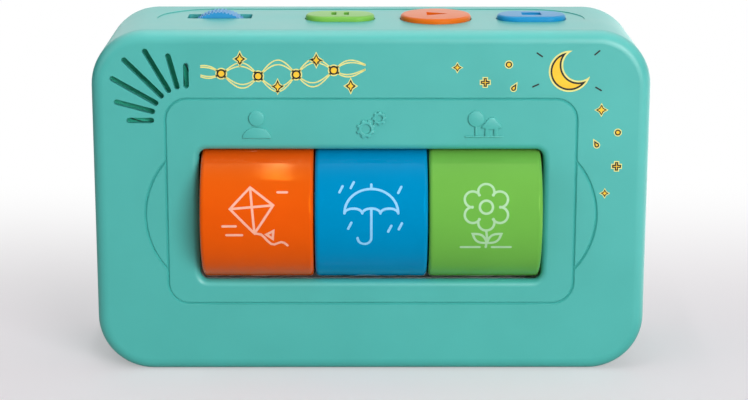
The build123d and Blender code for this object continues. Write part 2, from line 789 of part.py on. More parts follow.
for drum_name, start_x in zip(drum_names, drum_starts):
    middle_x = start_x + drum_length / 2

    with BuildPart() as drum_shell:
        # barrel with rounded rims
        with BuildSketch(facing_right(start_x)):
            with Locations(drum_axis):
                Circle(drum_radius)
        extrude(amount=drum_length)
        fillet(drum_shell.edges().filter_by(GeomType.CIRCLE), drum_edge_radius)

        # hollow from the right, and a shallow step in the closed left end
        with BuildSketch(facing_right(start_x + drum_web_recess + drum_web)):
            with Locations(drum_axis):
                Circle(drum_inner_radius)
        extrude(amount=drum_length, mode=Mode.SUBTRACT)
        with BuildSketch(facing_right(start_x)):
            with Locations(drum_axis):
                Circle(drum_inner_radius - drum_edge_radius)
        extrude(amount=drum_web_recess, mode=Mode.SUBTRACT)

        # hub tube and the ribs that tie it to the barrel
        with BuildSketch(facing_right(start_x)):
            with Locations(drum_axis):
                Circle(drum_hub_radius)
        extrude(amount=cap_start)
        with BuildSketch(facing_right(start_x + drum_web_recess)):
            with Locations(drum_axis):
                with PolarLocations((drum_hub_radius + drum_inner_radius) / 2, drum_ribs, drum_rib_start):
                    Rectangle(drum_inner_radius - drum_hub_radius + drum_wall / 2, drum_rib_wall)
        extrude(amount=drum_web + drum_rib_length)

        # pockets for the magnets, open towards the axis
        for turn, track in magnet_code:
            with BuildSketch(magnet_plane(middle_x, turn, track)):
                Circle(magnet_radius + magnet_pocket_wall)
            extrude(amount=magnet_thickness + magnet_pocket_floor)
            with BuildSketch(magnet_plane(middle_x, turn, track)):
                Circle(magnet_radius + running_gap)
            extrude(amount=magnet_thickness, mode=Mode.SUBTRACT)

        # bore that runs on the shaft
        with BuildSketch(facing_right(start_x)):
            with Locations(drum_axis):
                Circle(hub_bore)
        extrude(amount=drum_length, mode=Mode.SUBTRACT)

    drum_shell.part.label = f"drum_shell_{drum_name}"
    export_step(drum_shell.part, f"parts/drum_shell_{drum_name}.step")

    with BuildPart() as drum_magnets:
        for turn, track in magnet_code:
            with BuildSketch(magnet_plane(middle_x, turn, track)):
                Circle(magnet_radius)
            extrude(amount=magnet_thickness)

    drum_magnets.part.label = f"drum_magnets_{drum_name}"
    export_step(drum_magnets.part, f"parts/drum_magnets_{drum_name}.step")

    with BuildPart() as drum_cap:
        # disc that closes the barrel's right end, with the notched crown and a thrust boss
        with BuildSketch(facing_right(start_x + cap_start)):
            with Locations(drum_axis):
                Circle(drum_inner_radius - running_gap)
        extrude(amount=cap_thickness)
        with BuildSketch(facing_right(start_x + cap_face)):
            with Locations(drum_axis):
                Circle(crown_outer_radius)
                Circle(crown_inner_radius, mode=Mode.SUBTRACT)
        extrude(amount=crown_height)
        for turn in notch_turns:
            notch = click_v(start_x + crown_top, turn, notch_depth)
            extrude(notch, amount=crown_outer_radius - crown_inner_radius, both=True, mode=Mode.SUBTRACT)
        with BuildSketch(facing_right(start_x + cap_face)):
            with Locations(drum_axis):
                Circle(drum_hub_radius)
        extrude(amount=cap_boss_height)
        with BuildSketch(facing_right(start_x + cap_start)):
            with Locations(drum_axis):
                Circle(hub_bore)
        extrude(amount=drum_length, mode=Mode.SUBTRACT)

    drum_cap.part.label = f"drum_cap_{drum_name}"
    export_step(drum_cap.part, f"parts/drum_cap_{drum_name}.step")

    with BuildPart() as click_spring:
        # bush that can't turn on the flatted shaft, with two springy arms and their noses
        with BuildSketch(facing_right(start_x + spring_bush_start)):
            with Locations(drum_axis):
                Circle(drum_hub_radius)
        extrude(amount=spring_bush_end - spring_bush_start)
        with BuildSketch(facing_right(start_x + spring_arm_start)):
            with Locations(drum_axis):
                Rectangle(spring_arm_width, 2 * crown_outer_radius)
        extrude(amount=spring_arm_thickness)
        for turn in nose_turns:
            nose = click_v(start_x + spring_arm_start, turn, spring_arm_gap + notch_depth - nose_clearance)
            extrude(nose, amount=crown_outer_radius - crown_inner_radius)
        with BuildSketch(facing_right(start_x + spring_bush_start)):
            with Locations(drum_axis):
                d_section(hub_bore, shaft_flat + running_gap)
        extrude(amount=drum_length, mode=Mode.SUBTRACT)

    click_spring.part.label = f"click_spring_{drum_name}"
    export_step(click_spring.part, f"parts/click_spring_{drum_name}.step")

# ------------------------------------------------------------------ shaft and cradle

with BuildPart() as drum_shaft:
    # flatted steel rod with a groove for a clip near each end
    with BuildSketch(facing_right(-shaft_end_x)):
        with Locations(drum_axis):
            d_section(shaft_radius, shaft_flat)
    extrude(amount=2 * shaft_end_x)
    for groove_x in (-cheek_outer_x - clip_groove_width, cheek_outer_x):
        with BuildSketch(facing_right(groove_x)):
            with Locations(drum_axis):
                Circle(2 * shaft_radius)
                Circle(clip_groove_radius, mode=Mode.SUBTRACT)
        extrude(amount=clip_groove_width, mode=Mode.SUBTRACT)

drum_shaft.part.label = "drum_shaft"
export_step(drum_shaft.part, "parts/drum_shaft.step")

with BuildPart() as shaft_clips:
    for clip_x in (-cheek_outer_x - clip_thickness, cheek_outer_x):
        with BuildSketch(facing_right(clip_x)):
            with Locations(drum_axis):
                Circle(clip_radius)
                Circle(clip_groove_radius + running_gap, mode=Mode.SUBTRACT)
                with Locations((0, -clip_radius / 2)):
                    Rectangle(clip_mouth, clip_radius, mode=Mode.SUBTRACT)
        extrude(amount=clip_thickness)

shaft_clips.part.label = "shaft_clips"
export_step(shaft_clips.part, "parts/shaft_clips.step")

with BuildPart() as drum_cradle:
    # trough behind the drums, with two stiffening ribs at the seams between them
    with BuildSketch(facing_right(-cheek_outer_x)):
        half_ring(cradle_outer_radius, cradle_inner_radius)
    extrude(amount=2 * cheek_outer_x)
    for seam_x in (-drum_pitch / 2, drum_pitch / 2):
        with BuildSketch(facing_right(seam_x - cradle_wall / 2)):
            half_ring(cradle_outer_radius + cradle_rib_height, cradle_inner_radius)
        extrude(amount=cradle_wall)

    # cheeks that carry the shaft, with thrust bosses towards the drums
    for cheek_x in (-cheek_outer_x, cheek_inner_x):
        with BuildSketch(facing_right(cheek_x)):
            half_ring(cradle_outer_radius, hub_bore)
            with Locations(((cheek_front_y + drum_axis_y) / 2, drum_axis_z)):
                Rectangle(drum_axis_y - cheek_front_y, 2 * cradle_outer_radius)
            with Locations(drum_axis):
                Circle(drum_hub_radius)
        extrude(amount=cradle_wall)
    for boss_x in (-cheek_inner_x, bank_half + end_play):
        with BuildSketch(facing_right(boss_x)):
            with Locations(drum_axis):
                Circle(drum_hub_radius)
        extrude(amount=cheek_gap - end_play)
    with BuildSketch(facing_right(-cheek_outer_x)):
        with Locations(drum_axis):
            d_section(hub_bore, shaft_flat + running_gap)
    extrude(amount=2 * cheek_outer_x, mode=Mode.SUBTRACT)

    # screw ears with gussets
    for side in (-1, 1):
        for level in (-1, 1):
            ear_z = drum_axis_z + level * ear_offset_z
            with BuildSketch(facing_front(ear_y)):
                with Locations((side * (cheek_outer_x + ear_length / 2), ear_z)):
                    Rectangle(ear_length, ear_height)
                with Locations((side * ear_screw_x, ear_z)):
                    Circle(screw_hole_radius, mode=Mode.SUBTRACT)
            extrude(amount=-cradle_wall)
            with BuildSketch(facing_up(ear_z - gusset_thickness / 2)):
                with BuildLine():
                    Polyline(
                        (side * cheek_outer_x, ear_y + cradle_wall),
                        (side * (cheek_outer_x + gusset_width), ear_y + cradle_wall),
                        (side * cheek_outer_x, ear_y + cradle_wall + gusset_length),
                        close=True,
                    )
                make_face()
            extrude(amount=gusset_thickness)

    # posts for the lower edge of the main board, and the windows of the sensors
    with BuildSketch(facing_front(board_front_y)):
        with Locations(*board_screws_low):
            Circle(boss_radius)
    extrude(amount=board_front_y - drum_axis_y - cradle_inner_radius)
    with BuildSketch(facing_front(board_front_y)):
        with Locations(*board_screws_low):
            Circle(pilot_radius)
    extrude(amount=short_screw_length, mode=Mode.SUBTRACT)
    with BuildSketch(facing_front(board_front_y)):
        with Locations(*[(x, drum_axis_z) for x in drum_centres]):
            Rectangle(sensor_window_length, sensor_window_height)
    extrude(amount=board_front_y - drum_axis_y, mode=Mode.SUBTRACT)

drum_cradle.part.label = "drum_cradle"
export_step(drum_cradle.part, "parts/drum_cradle.step")

with BuildPart() as cradle_screws:
    for x, z in cradle_screws_at:
        with Locations(Location(facing_front(ear_y + cradle_wall)) * Location((x, z, 0))):
            screw(short_screw_length)

cradle_screws.part.label = "cradle_screws"
export_step(cradle_screws.part, "parts/cradle_screws.step")

# ------------------------------------------------------------------ control buttons

for button_name, button_x, is_round in (
    ("pause_button", pause_x, False),
    ("play_button", play_x, True),
    ("stop_button", stop_x, False),
):
    with BuildPart() as button:
        # cap with a rounded top edge and a flange that stops it under the ceiling
        with BuildSketch(facing_up(flange_bottom_z)):
            with Locations((button_x, 0)):
                button_outline(is_round, 0)
        extrude(amount=button_top_z - flange_bottom_z)
        fillet(button.faces().sort_by(Axis.Z)[-1].edges(), button_edge_radius)
        with BuildSketch(facing_up(flange_bottom_z)):
            with Locations((button_x, 0)):
                button_outline(is_round, button_flange)
        extrude(amount=button_flange_thickness)

        # hollow from below, with the plunger that presses the dome
        with BuildSketch(facing_up(flange_bottom_z)):
            with Locations((button_x, 0)):
                button_outline(is_round, -button_wall)
        extrude(amount=button_top_z - button_top_wall - flange_bottom_z, mode=Mode.SUBTRACT)
        with BuildSketch(facing_up(plunger_z)):
            with Locations((button_x, 0)):
                Circle(plunger_radius)
        extrude(amount=button_top_z - button_top_wall - plunger_z)

    button.part.label = button_name
    export_step(button.part, f"parts/{button_name}.step")

with BuildPart() as keypad_mat:
    # silicone sheet with one hollow dome under each button
    with BuildSketch(facing_up(mat_bottom_z)):
        with Locations((button_board_x, 0)):
            RectangleRounded(button_board_length, button_board_width, button_board_corner)
        with Locations(*button_screws):
            Circle(boss_radius + screw_hole_gap, mode=Mode.SUBTRACT)
    extrude(amount=mat_thickness)
    with Locations(*[(x, 0, mat_top_z) for x in (pause_x, play_x, stop_x)]):
        Cone(dome_base_radius, dome_top_radius, dome_height, align=on_its_base)
    with Locations(*[(x, 0, mat_bottom_z) for x in (pause_x, play_x, stop_x)]):
        Cone(
            dome_base_radius - dome_wall,
            dome_top_radius - dome_wall,
            mat_thickness + dome_height - dome_wall,
            align=on_its_base,
            mode=Mode.SUBTRACT,
        )

keypad_mat.part.label = "keypad_mat"
export_step(keypad_mat.part, "parts/keypad_mat.step")

with BuildPart() as button_board:
    with BuildSketch(facing_up(button_board_z)):
        with Locations((button_board_x, 0)):
            RectangleRounded(button_board_length, button_board_width, button_board_corner)
        with Locations(*button_screws):
            Circle(screw_hole_radius, mode=Mode.SUBTRACT)
    extrude(amount=board_thickness)

button_board.part.label = "button_board"
export_step(button_board.part, "parts/button_board.step")

with BuildPart() as button_board_screws:
    for x, y in button_screws:
        with Locations((x, y, button_board_z)):
            screw(short_screw_length)

button_board_screws.part.label = "button_board_screws"
export_step(button_board_screws.part, "parts/button_board_screws.step")

# flat flexible cable from the button board down to the main board
with BuildPart() as button_ribbon:
    with BuildSketch(facing_right(button_board_x - ribbon_width / 2)):
        with BuildLine():
            FilletPolyline(
                (button_board_width / 2 - ribbon_overlap, button_board_z - ribbon_thickness / 2),
                (board_front_y - ribbon_thickness / 2, button_board_z - ribbon_thickness / 2),
                (board_front_y - ribbon_thickness / 2, main_board_top_z - ribbon_overlap),
                radius=ribbon_bend,
            )
        trace(line_width=ribbon_thickness)
    extrude(amount=ribbon_width)

button_ribbon.part.label = "button_ribbon"
export_step(button_ribbon.part, "parts/button_ribbon.step")

# ------------------------------------------------------------------ volume thumbwheel

with BuildPart() as volume_wheel:
    # grooved rim, web and hub
    with BuildSketch(facing_front(wheel_front_y)):
        with Locations((wheel_x, wheel_z)):
            Circle(wheel_radius)
            with PolarLocations(wheel_radius, wheel_grooves):
                Rectangle(2 * wheel_groove_depth, wheel_groove_width, mode=Mode.SUBTRACT)
    extrude(amount=-wheel_thickness)
    for face_y, direction in ((wheel_front_y, -1), (wheel_back_y, 1)):
        with BuildSketch(facing_front(face_y)):
            with Locations((wheel_x, wheel_z)):
                Circle(wheel_radius - wheel_rim_wall)
                Circle(wheel_hub_radius, mode=Mode.SUBTRACT)
        extrude(amount=direction * (wheel_thickness - wheel_web) / 2, mode=Mode.SUBTRACT)
    with BuildSketch(facing_front(wheel_front_y)):
        with Locations((wheel_x, wheel_z)):
            d_section(pot_shaft_radius + running_gap, pot_flat + running_gap)
    extrude(amount=-wheel_thickness, mode=Mode.SUBTRACT)

volume_wheel.part.label = "volume_wheel"
export_step(volume_wheel.part, "parts/volume_wheel.step")

with BuildPart() as volume_shaft:
    with BuildSketch(facing_front(wheel_front_y)):
        with Locations((wheel_x, wheel_z)):
            d_section(pot_shaft_radius, pot_flat)
    extrude(amount=wheel_front_y - pot_front_y - pot_shaft_seat)
    with BuildSketch(facing_front(wheel_front_y)):
        with Locations((wheel_x, wheel_z)):
            Circle(wheel_screw_radius + pilot_gap)
    extrude(amount=-wheel_thickness, mode=Mode.SUBTRACT)

volume_shaft.part.label = "volume_shaft"
export_step(volume_shaft.part, "parts/volume_shaft.step")

with BuildPart() as volume_wheel_screw:
    with Locations(Plane(origin=(wheel_x, wheel_front_y, wheel_z), z_dir=(0, 1, 0))):
        screw(short_screw_length, wheel_screw_radius, wheel_screw_head_radius, wheel_screw_head_height)

volume_wheel_screw.part.label = "volume_wheel_screw"
export_step(volume_wheel_screw.part, "parts/volume_wheel_screw.step")

with BuildPart() as volume_control_body:
    with BuildSketch(facing_front(pot_front_y)):
        with Locations((wheel_x, wheel_z)):
            RectangleRounded(pot_size, pot_size, pot_corner_radius)
    extrude(amount=-pot_depth)
    with BuildSketch(facing_front(pot_front_y)):
        with Locations((wheel_x, wheel_z)):
            Circle(pot_shaft_radius + running_gap)
    extrude(amount=-pot_shaft_seat - running_gap, mode=Mode.SUBTRACT)

volume_control_body.part.label = "volume_control_body"
export_step(volume_control_body.part, "parts/volume_control_body.step")

# ------------------------------------------------------------------ main board

with BuildPart() as main_board:
    with BuildSketch(facing_front(board_front_y)):
        with Locations((0, (main_board_bottom_z + main_board_top_z) / 2)):
            Rectangle(2 * main_board_half_width, main_board_top_z - main_board_bottom_z)
        with Locations((wheel_x, (main_board_bottom_z + main_board_tab_z) / 2)):
            Rectangle(main_board_tab_width, main_board_tab_z - main_board_bottom_z)
        with Locations(*board_screws_low, *board_screws_high):
            Circle(screw_hole_radius, mode=Mode.SUBTRACT)
    extrude(amount=-board_thickness)

main_board.part.label = "main_board"
export_step(main_board.part, "parts/main_board.step")

with BuildPart() as main_board_screws:
    for x, z in (*board_screws_low, *board_screws_high):
        with Locations(Location(facing_front(board_back_y)) * Location((x, z, 0))):
            screw(short_screw_length)

main_board_screws.part.label = "main_board_screws"
export_step(main_board_screws.part, "parts/main_board_screws.step")

# six small magnetic sensors on legs, two behind each drum
with BuildPart() as drum_sensors:
    for centre_x in drum_centres:
        for track in (-1, 1):
            sensor_x = centre_x + track * magnet_track_spacing / 2
            with BuildSketch(facing_front(sensor_front_y)):
                with Locations((sensor_x, drum_axis_z)):
                    Rectangle(sensor_width, sensor_height)
            extrude(amount=-sensor_depth)
            with BuildSketch(facing_front(sensor_front_y + sensor_depth)):
                with Locations((sensor_x, drum_axis_z)):
                    with GridLocations(sensor_lead_pitch, 0, 3, 1):
                        Rectangle(sensor_lead, sensor_lead)
            extrude(amount=sensor_front_y + sensor_depth - board_front_y)

drum_sensors.part.label = "drum_sensors"
export_step(drum_sensors.part, "parts/drum_sensors.step")

# sound chip, amplifier, connectors and a capacitor on the back of the main board
with BuildPart() as board_components:
    for x, z, width, height, depth in (
        (sound_chip_x, board_parts_z, sound_chip_size, sound_chip_size, chip_thickness),
        (amplifier_x, board_parts_z, amplifier_length, amplifier_width, chip_thickness),
        (speaker_socket_x, board_parts_z, socket_length, socket_width, socket_depth),
        (battery_socket_x, board_parts_z, socket_length, socket_width, socket_depth),
    ):
        with BuildSketch(facing_front(board_back_y)):
            with Locations((x, z)):
                Rectangle(width, height)
        extrude(amount=-depth)
    with BuildSketch(facing_front(board_back_y)):
        with Locations((capacitor_x, board_parts_z)):
            Circle(capacitor_radius)
    extrude(amount=-capacitor_height)

board_components.part.label = "board_components"
export_step(board_components.part, "parts/board_components.step")

# ------------------------------------------------------------------ loudspeaker

speaker_plane = Plane(origin=(-corner_x, speaker_front_y, corner_z))
speaker_axis = Axis((-corner_x, speaker_front_y, corner_z), (0, 1, 0))

with BuildPart() as speaker_gasket_ring:
    with BuildSketch(facing_front(inner_front_y)):
        with Locations((-corner_x, corner_z)):
            Circle(speaker_radius)
            Circle(speaker_mouth_radius, mode=Mode.SUBTRACT)
    extrude(amount=-speaker_gasket)

speaker_gasket_ring.part.label = "speaker_gasket"
export_step(speaker_gasket_ring.part, "parts/speaker_gasket.step")

with BuildPart() as speaker_basket:
    # pressed steel basket: rim, sloping wall and back plate
    with BuildSketch(speaker_plane):
        with BuildLine():
            Polyline(
                (speaker_mouth_radius, 0),
                (speaker_radius, 0),
                (speaker_radius, speaker_rim),
                (speaker_mouth_radius + speaker_rim, speaker_rim),
                (magnet_cup_radius + speaker_rim, speaker_basket_depth - speaker_rim),
                (magnet_cup_radius + speaker_rim, speaker_basket_depth),
                (basket_bore_radius, speaker_basket_depth),
                (basket_bore_radius, speaker_basket_depth - speaker_rim),
                (magnet_cup_radius, speaker_basket_depth - speaker_rim),
                (speaker_mouth_radius, speaker_rim),
                close=True,
            )
        make_face()
    revolve(axis=speaker_axis)

speaker_basket.part.label = "speaker_basket"
export_step(speaker_basket.part, "parts/speaker_basket.step")

with BuildPart() as speaker_cone:
    # paper cone with a domed dust cap
    with BuildSketch(speaker_plane):
        with BuildLine():
            Polyline(
                (0, cone_cap_depth),
                (cone_neck_radius, cone_depth),
                (cone_edge_radius, cone_wall),
                (cone_edge_radius, 2 * cone_wall),
                (cone_neck_radius, cone_depth + cone_wall),
                (0, cone_cap_depth + cone_wall),
                close=True,
            )
        make_face()
    revolve(axis=speaker_axis)

speaker_cone.part.label = "speaker_cone"
export_step(speaker_cone.part, "parts/speaker_cone.step")

with BuildPart() as speaker_magnet:
    with BuildSketch(facing_front(speaker_cup_y)):
        with Locations((-corner_x, corner_z)):
            Circle(magnet_cup_radius)
    extrude(amount=-magnet_cup_depth)

speaker_magnet.part.label = "speaker_magnet"
export_step(speaker_magnet.part, "parts/speaker_magnet.step")

with BuildPart() as speaker_strap:
    with BuildSketch(facing_front(strap_y)):
        with Locations((-corner_x, corner_z)):
            SlotCenterToCenter(2 * strap_boss_distance, strap_width, rotation=45)
        with Locations(*strap_screws):
            Circle(screw_hole_radius, mode=Mode.SUBTRACT)
    extrude(amount=-strap_thickness)

speaker_strap.part.label = "speaker_strap"
export_step(speaker_strap.part, "parts/speaker_strap.step")

with BuildPart() as speaker_strap_screws:
    for x, z in strap_screws:
        with Locations(Location(facing_front(strap_y + strap_thickness)) * Location((x, z, 0))):
            screw(short_screw_length)

speaker_strap_screws.part.label = "speaker_strap_screws"
export_step(speaker_strap_screws.part, "parts/speaker_strap_screws.step")
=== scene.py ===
"""Audio story player: finishes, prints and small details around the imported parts, in a plain studio."""

import math

import bpy
from mathutils import Matrix, Vector


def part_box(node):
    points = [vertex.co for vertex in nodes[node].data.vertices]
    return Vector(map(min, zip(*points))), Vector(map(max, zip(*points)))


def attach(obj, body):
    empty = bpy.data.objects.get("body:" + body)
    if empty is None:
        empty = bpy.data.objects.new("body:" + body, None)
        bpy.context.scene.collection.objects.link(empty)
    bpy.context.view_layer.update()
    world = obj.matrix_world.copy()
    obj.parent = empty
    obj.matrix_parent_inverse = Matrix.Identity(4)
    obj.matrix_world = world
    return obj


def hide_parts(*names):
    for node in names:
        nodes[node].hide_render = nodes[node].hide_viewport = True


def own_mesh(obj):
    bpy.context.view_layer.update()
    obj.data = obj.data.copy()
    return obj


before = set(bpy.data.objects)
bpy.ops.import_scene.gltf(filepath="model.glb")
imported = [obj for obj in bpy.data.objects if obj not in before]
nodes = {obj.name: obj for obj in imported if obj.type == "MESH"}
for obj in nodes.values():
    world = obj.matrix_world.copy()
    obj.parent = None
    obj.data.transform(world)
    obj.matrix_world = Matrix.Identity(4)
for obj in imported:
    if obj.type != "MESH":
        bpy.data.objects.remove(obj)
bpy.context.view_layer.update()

# ---------------------------------------------------------------- camera
# A portrait lens, a little above the player and square to its front. The frame is in metres, so a size
# in millimetres is written as a number times mm.

mm = 0.001
camera_place = (-3.75 * mm, -694.9 * mm, 226.5 * mm)
camera_lens = 102.1
camera_pitch = math.radians(14.146)
camera_yaw = math.radians(0.401)
camera_roll = math.radians(0.097)

bpy.ops.object.camera_add(location=camera_place)
camera = bpy.context.object
camera.data.lens = camera_lens
camera.matrix_world = (
    Matrix.Translation(camera_place)
    @ Matrix.Rotation(-camera_yaw, 4, "Z")
    @ Matrix.Rotation(math.radians(90) - camera_pitch, 4, "X")
    @ Matrix.Rotation(camera_roll, 4, "Z")
)
bpy.context.scene.camera = camera

# ---------------------------------------------------------------- studio
# A seamless white paper floor under a pale dome, which reads as white wherever no shadow falls on it. A
# large softbox stands at the right of the camera, a weak one at the left and one above and behind, and a
# narrow one overhead puts a gleam on the left drum.


def srgb(code):
    """Linear colour, with alpha, of an sRGB hex value."""
    channels = [int(code[i : i + 2], 16) / 255 for i in (1, 3, 5)]
    return (*[c / 12.92 if c <= 0.04045 else ((c + 0.055) / 1.055) ** 2.4 for c in channels], 1.0)


def add(material, kind, inputs=None, **settings):
    """Adds a node to a material. An input is a value, or a (node, output) pair to link from."""
    tree = material.node_tree
    node = tree.nodes.new(kind)
    for key, value in settings.items():
        setattr(node, key, value)
    for key, value in (inputs or {}).items():
        if isinstance(value, tuple) and isinstance(value[0], bpy.types.Node):
            tree.links.new(value[0].outputs[value[1]], node.inputs[key])
        else:
            node.inputs[key].default_value = value
    return node


def ramp(material, source, ends, levels=(0.0, 1.0), **settings):
    """Turns a value that runs between two ends into one that runs between two levels."""
    inputs = {
        "Value": source,
        "From Min": ends[0],
        "From Max": ends[1],
        "To Min": levels[0],
        "To Max": levels[1],
    }
    return add(material, "ShaderNodeMapRange", inputs, **settings)


def blank_material(name):
    """A material with no nodes yet."""
    material = bpy.data.materials.new(name)
    material.use_nodes = True
    material.node_tree.nodes.clear()
    return material


def towards(material, place, direction):
    """How far a place lies in a direction."""
    return add(material, "ShaderNodeVectorMath", {0: place, 1: direction}, operation="DOT_PRODUCT")


def mix(material, share, first, second):
    """The first shader where the share is 0, the second where it is 1."""
    return add(material, "ShaderNodeMixShader", {0: share, 1: first, 2: second})


def soft_light(name, place, target, width, length, power):
    """A rectangular softbox that points from its place to a target."""
    bpy.ops.object.light_add(type="AREA", location=place)
    light = bpy.context.object
    light.name = name
    light.data.shape = "RECTANGLE"
    light.data.size = width
    light.data.size_y = length
    light.data.energy = power
    direction = Vector(target) - Vector(place)
    light.rotation_euler = direction.to_track_quat("-Z", "Y").to_euler()


white = (1, 1, 1, 1)
floor_size = 12.0
floor_colour = "#F2E9EF"
white_paper_ends = (-0.01, 0.24)
white_paper_least = 0.3
dome_strength = 0.31
player_centre = (0, 0, 55 * mm)
# what the paper throws back, then what gloss sees of paper and sky, which are brighter on the right
bounce_colour = "#C8C8C6"
bright_floor = 2.4
bright_floor_side = (1.0, 0.35, 0)
bright_floor_ends = (0.08, 0.22)
sky_levels = (0.02, 1.3)
bright_sky_side = (0.50, 0.58, 0.64)
bright_sky_ends = (0.05, 0.65)
ceiling_glow = 2.7
ceiling_side = (0, -0.28, 0.96)
ceiling_ends = (0.2, 1.0)

bpy.ops.mesh.primitive_plane_add(size=floor_size)
floor = bpy.context.object
floor.name = "studio_floor"

paper = blank_material("matt_white_paper")
paper_shader = add(
    paper,
    "ShaderNodeBsdfPrincipled",
    {"Base Color": srgb(floor_colour), "Roughness": 0.9, "Specular IOR Level": 0.1},
)
paper_bounce = add(paper, "ShaderNodeBsdfDiffuse", {"Color": srgb(bounce_colour)})
paper_place = add(paper, "ShaderNodeTexCoord")
paper_depth = add(paper, "ShaderNodeSeparateXYZ", {"Vector": (paper_place, "Object")})
paper_fade = ramp(
    paper, (paper_depth, "Y"), white_paper_ends, (white_paper_least, 1.0), interpolation_type="SMOOTHSTEP"
)
paper_seen = add(paper, "ShaderNodeLightPath")
paper_amount = add(
    paper,
    "ShaderNodeMath",
    {0: (paper_fade, "Result"), 1: (paper_seen, "Is Camera Ray")},
    operation="MULTIPLY",
)
paper_glow = add(paper, "ShaderNodeEmission", {"Color": white, "Strength": 1.0})
paper_side = towards(paper, (paper_place, "Object"), bright_floor_side)
paper_right = ramp(paper, (paper_side, "Value"), bright_floor_ends, interpolation_type="SMOOTHSTEP")
paper_gloss = add(
    paper,
    "ShaderNodeMath",
    {0: (paper_right, "Result"), 1: (paper_seen, "Is Glossy Ray")},
    operation="MULTIPLY",
)
paper_shine = add(paper, "ShaderNodeEmission", {"Color": white, "Strength": bright_floor})
paper_mirrored = mix(paper, (paper_gloss, "Value"), (paper_bounce, "BSDF"), (paper_shine, "Emission"))
paper_light = mix(paper, (paper_seen, "Is Camera Ray"), (paper_mirrored, "Shader"), (paper_shader, "BSDF"))
paper_mix = mix(paper, (paper_amount, "Value"), (paper_light, "Shader"), (paper_glow, "Emission"))
add(paper, "ShaderNodeOutputMaterial", {"Surface": (paper_mix, "Shader")})
floor.data.materials.append(paper)

world = bpy.data.worlds.new("pale_dome")
bpy.context.scene.world = world
world.use_nodes = True
world.node_tree.nodes.clear()
light_path = add(world, "ShaderNodeLightPath")
dome_light = add(world, "ShaderNodeBackground", {"Color": white, "Strength": dome_strength})
white_view = add(world, "ShaderNodeBackground", {"Color": white, "Strength": 1.0})
sky_place = add(world, "ShaderNodeTexCoord")
sky_side = towards(world, (sky_place, "Generated"), bright_sky_side)
sky_level = ramp(world, (sky_side, "Value"), bright_sky_ends, sky_levels, interpolation_type="SMOOTHSTEP")
sky_height = towards(world, (sky_place, "Generated"), ceiling_side)
ceiling = ramp(world, (sky_height, "Value"), ceiling_ends, (0.0, ceiling_glow))
sky_sum = add(world, "ShaderNodeMath", {0: (sky_level, "Result"), 1: (ceiling, "Result")}, operation="ADD")
mirrored_sky = add(world, "ShaderNodeBackground", {"Color": white, "Strength": (sky_sum, "Value")})
sky_mix = mix(world, (light_path, "Is Glossy Ray"), (dome_light, "Background"), (mirrored_sky, "Background"))
dome_mix = mix(world, (light_path, "Is Camera Ray"), (sky_mix, "Shader"), (white_view, "Background"))
add(world, "ShaderNodeOutputWorld", {"Surface": (dome_mix, "Shader")})

soft_light("key_light", (0.60, -1.21, 0.46), player_centre, width=0.7, length=0.7, power=15.4)
soft_light("left_light", (-1.30, -0.60, 0.50), player_centre, width=0.8, length=0.8, power=2.0)
soft_light("top_light", (0, 0.50, 1.10), player_centre, width=0.9, length=0.9, power=1.7)
soft_light(
    "gleam_light", (-0.054, -0.146, 0.658), (-0.054, -0.032, 0.069), width=0.014, length=0.39, power=0.38
)

bpy.context.scene.view_settings.view_transform = "Standard"

# ---------------------------------------------------------------- front housing
# The case's main moulding, in satin teal ABS. Its face carries low raised signs, moulded with it,
# and two pad prints in yellow and black ink.

noise_ends = (0.3, 0.7)
cloud_size = 24 * mm


def surface(material, inputs):
    """Gives a material its surface, and returns the material."""
    shader = add(material, "ShaderNodeBsdfPrincipled", inputs)
    add(material, "ShaderNodeOutputMaterial", {"Surface": (shader, "BSDF")})
    return material


def noise(material, size, detail, roughness=0.5, distortion=0.0):
    """A noise in the object's own space, with features of about this size."""
    place = add(material, "ShaderNodeTexCoord")
    inputs = {"Vector": (place, "Object"), "Scale": 1 / size, "Detail": detail, "Roughness": roughness}
    return add(material, "ShaderNodeTexNoise", {**inputs, "Distortion": distortion})


def mottled(material, pattern, colour, levels):
    """A colour that a noise makes a little darker or lighter, between two levels."""
    tint = ramp(material, (pattern, "Fac"), noise_ends, levels)
    return add(material, "ShaderNodeHueSaturation", {"Color": srgb(colour), "Value": (tint, "Result")})


def moulded_plastic(name, colour, roughness, grain, grain_depth, sheen="#FFFFFF", gleam=0.5):
    """Injection-moulded plastic: an even colour, with a faint cloudiness and the mould's fine grain.

    The colour and the roughness wander by a few hundredths over a few centimetres. The grain is the
    size of the mould's texture and its depth that of the bump, both in metres. The gleam is how much
    light the surface mirrors, and the sheen is the tint of that light.
    """
    material = blank_material(name)
    cloud = noise(material, cloud_size, detail=3.0, roughness=0.6)
    paint = mottled(material, cloud, colour, (0.97, 1.03))
    gloss = ramp(material, (cloud, "Fac"), noise_ends, (roughness - 0.03, roughness + 0.03))
    texture = noise(material, grain, detail=2.0)
    relief = add(
        material,
        "ShaderNodeBump",
        {"Height": (texture, "Fac"), "Strength": 1.0, "Distance": grain_depth},
    )
    return surface(
        material,
        {
            "Base Color": (paint, "Color"),
            "Roughness": (gloss, "Result"),
            "Normal": (relief, "Normal"),
            "IOR": 1.53,
            "Specular IOR Level": gleam,
            "Specular Tint": srgb(sheen),
        },
    )


def coat(item, material):
    """Gives an object this one material."""
    item.data.materials.clear()
    item.data.materials.append(material)


def finish(node_name, material):
    """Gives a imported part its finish."""
    coat(nodes[node_name], material)


teal_abs = moulded_plastic("moulded_teal_abs", "#48AFA8", 0.38, 0.35 * mm, 0.004 * mm)
finish("front_housing", teal_abs)

# ---------------------------------------------------------------- raised signs
# Three low signs above the drums, moulded in one with the teal housing: a person, two gears, and a
# tree beside a house. Their edges are soft, as the mould's own engraving leaves them.

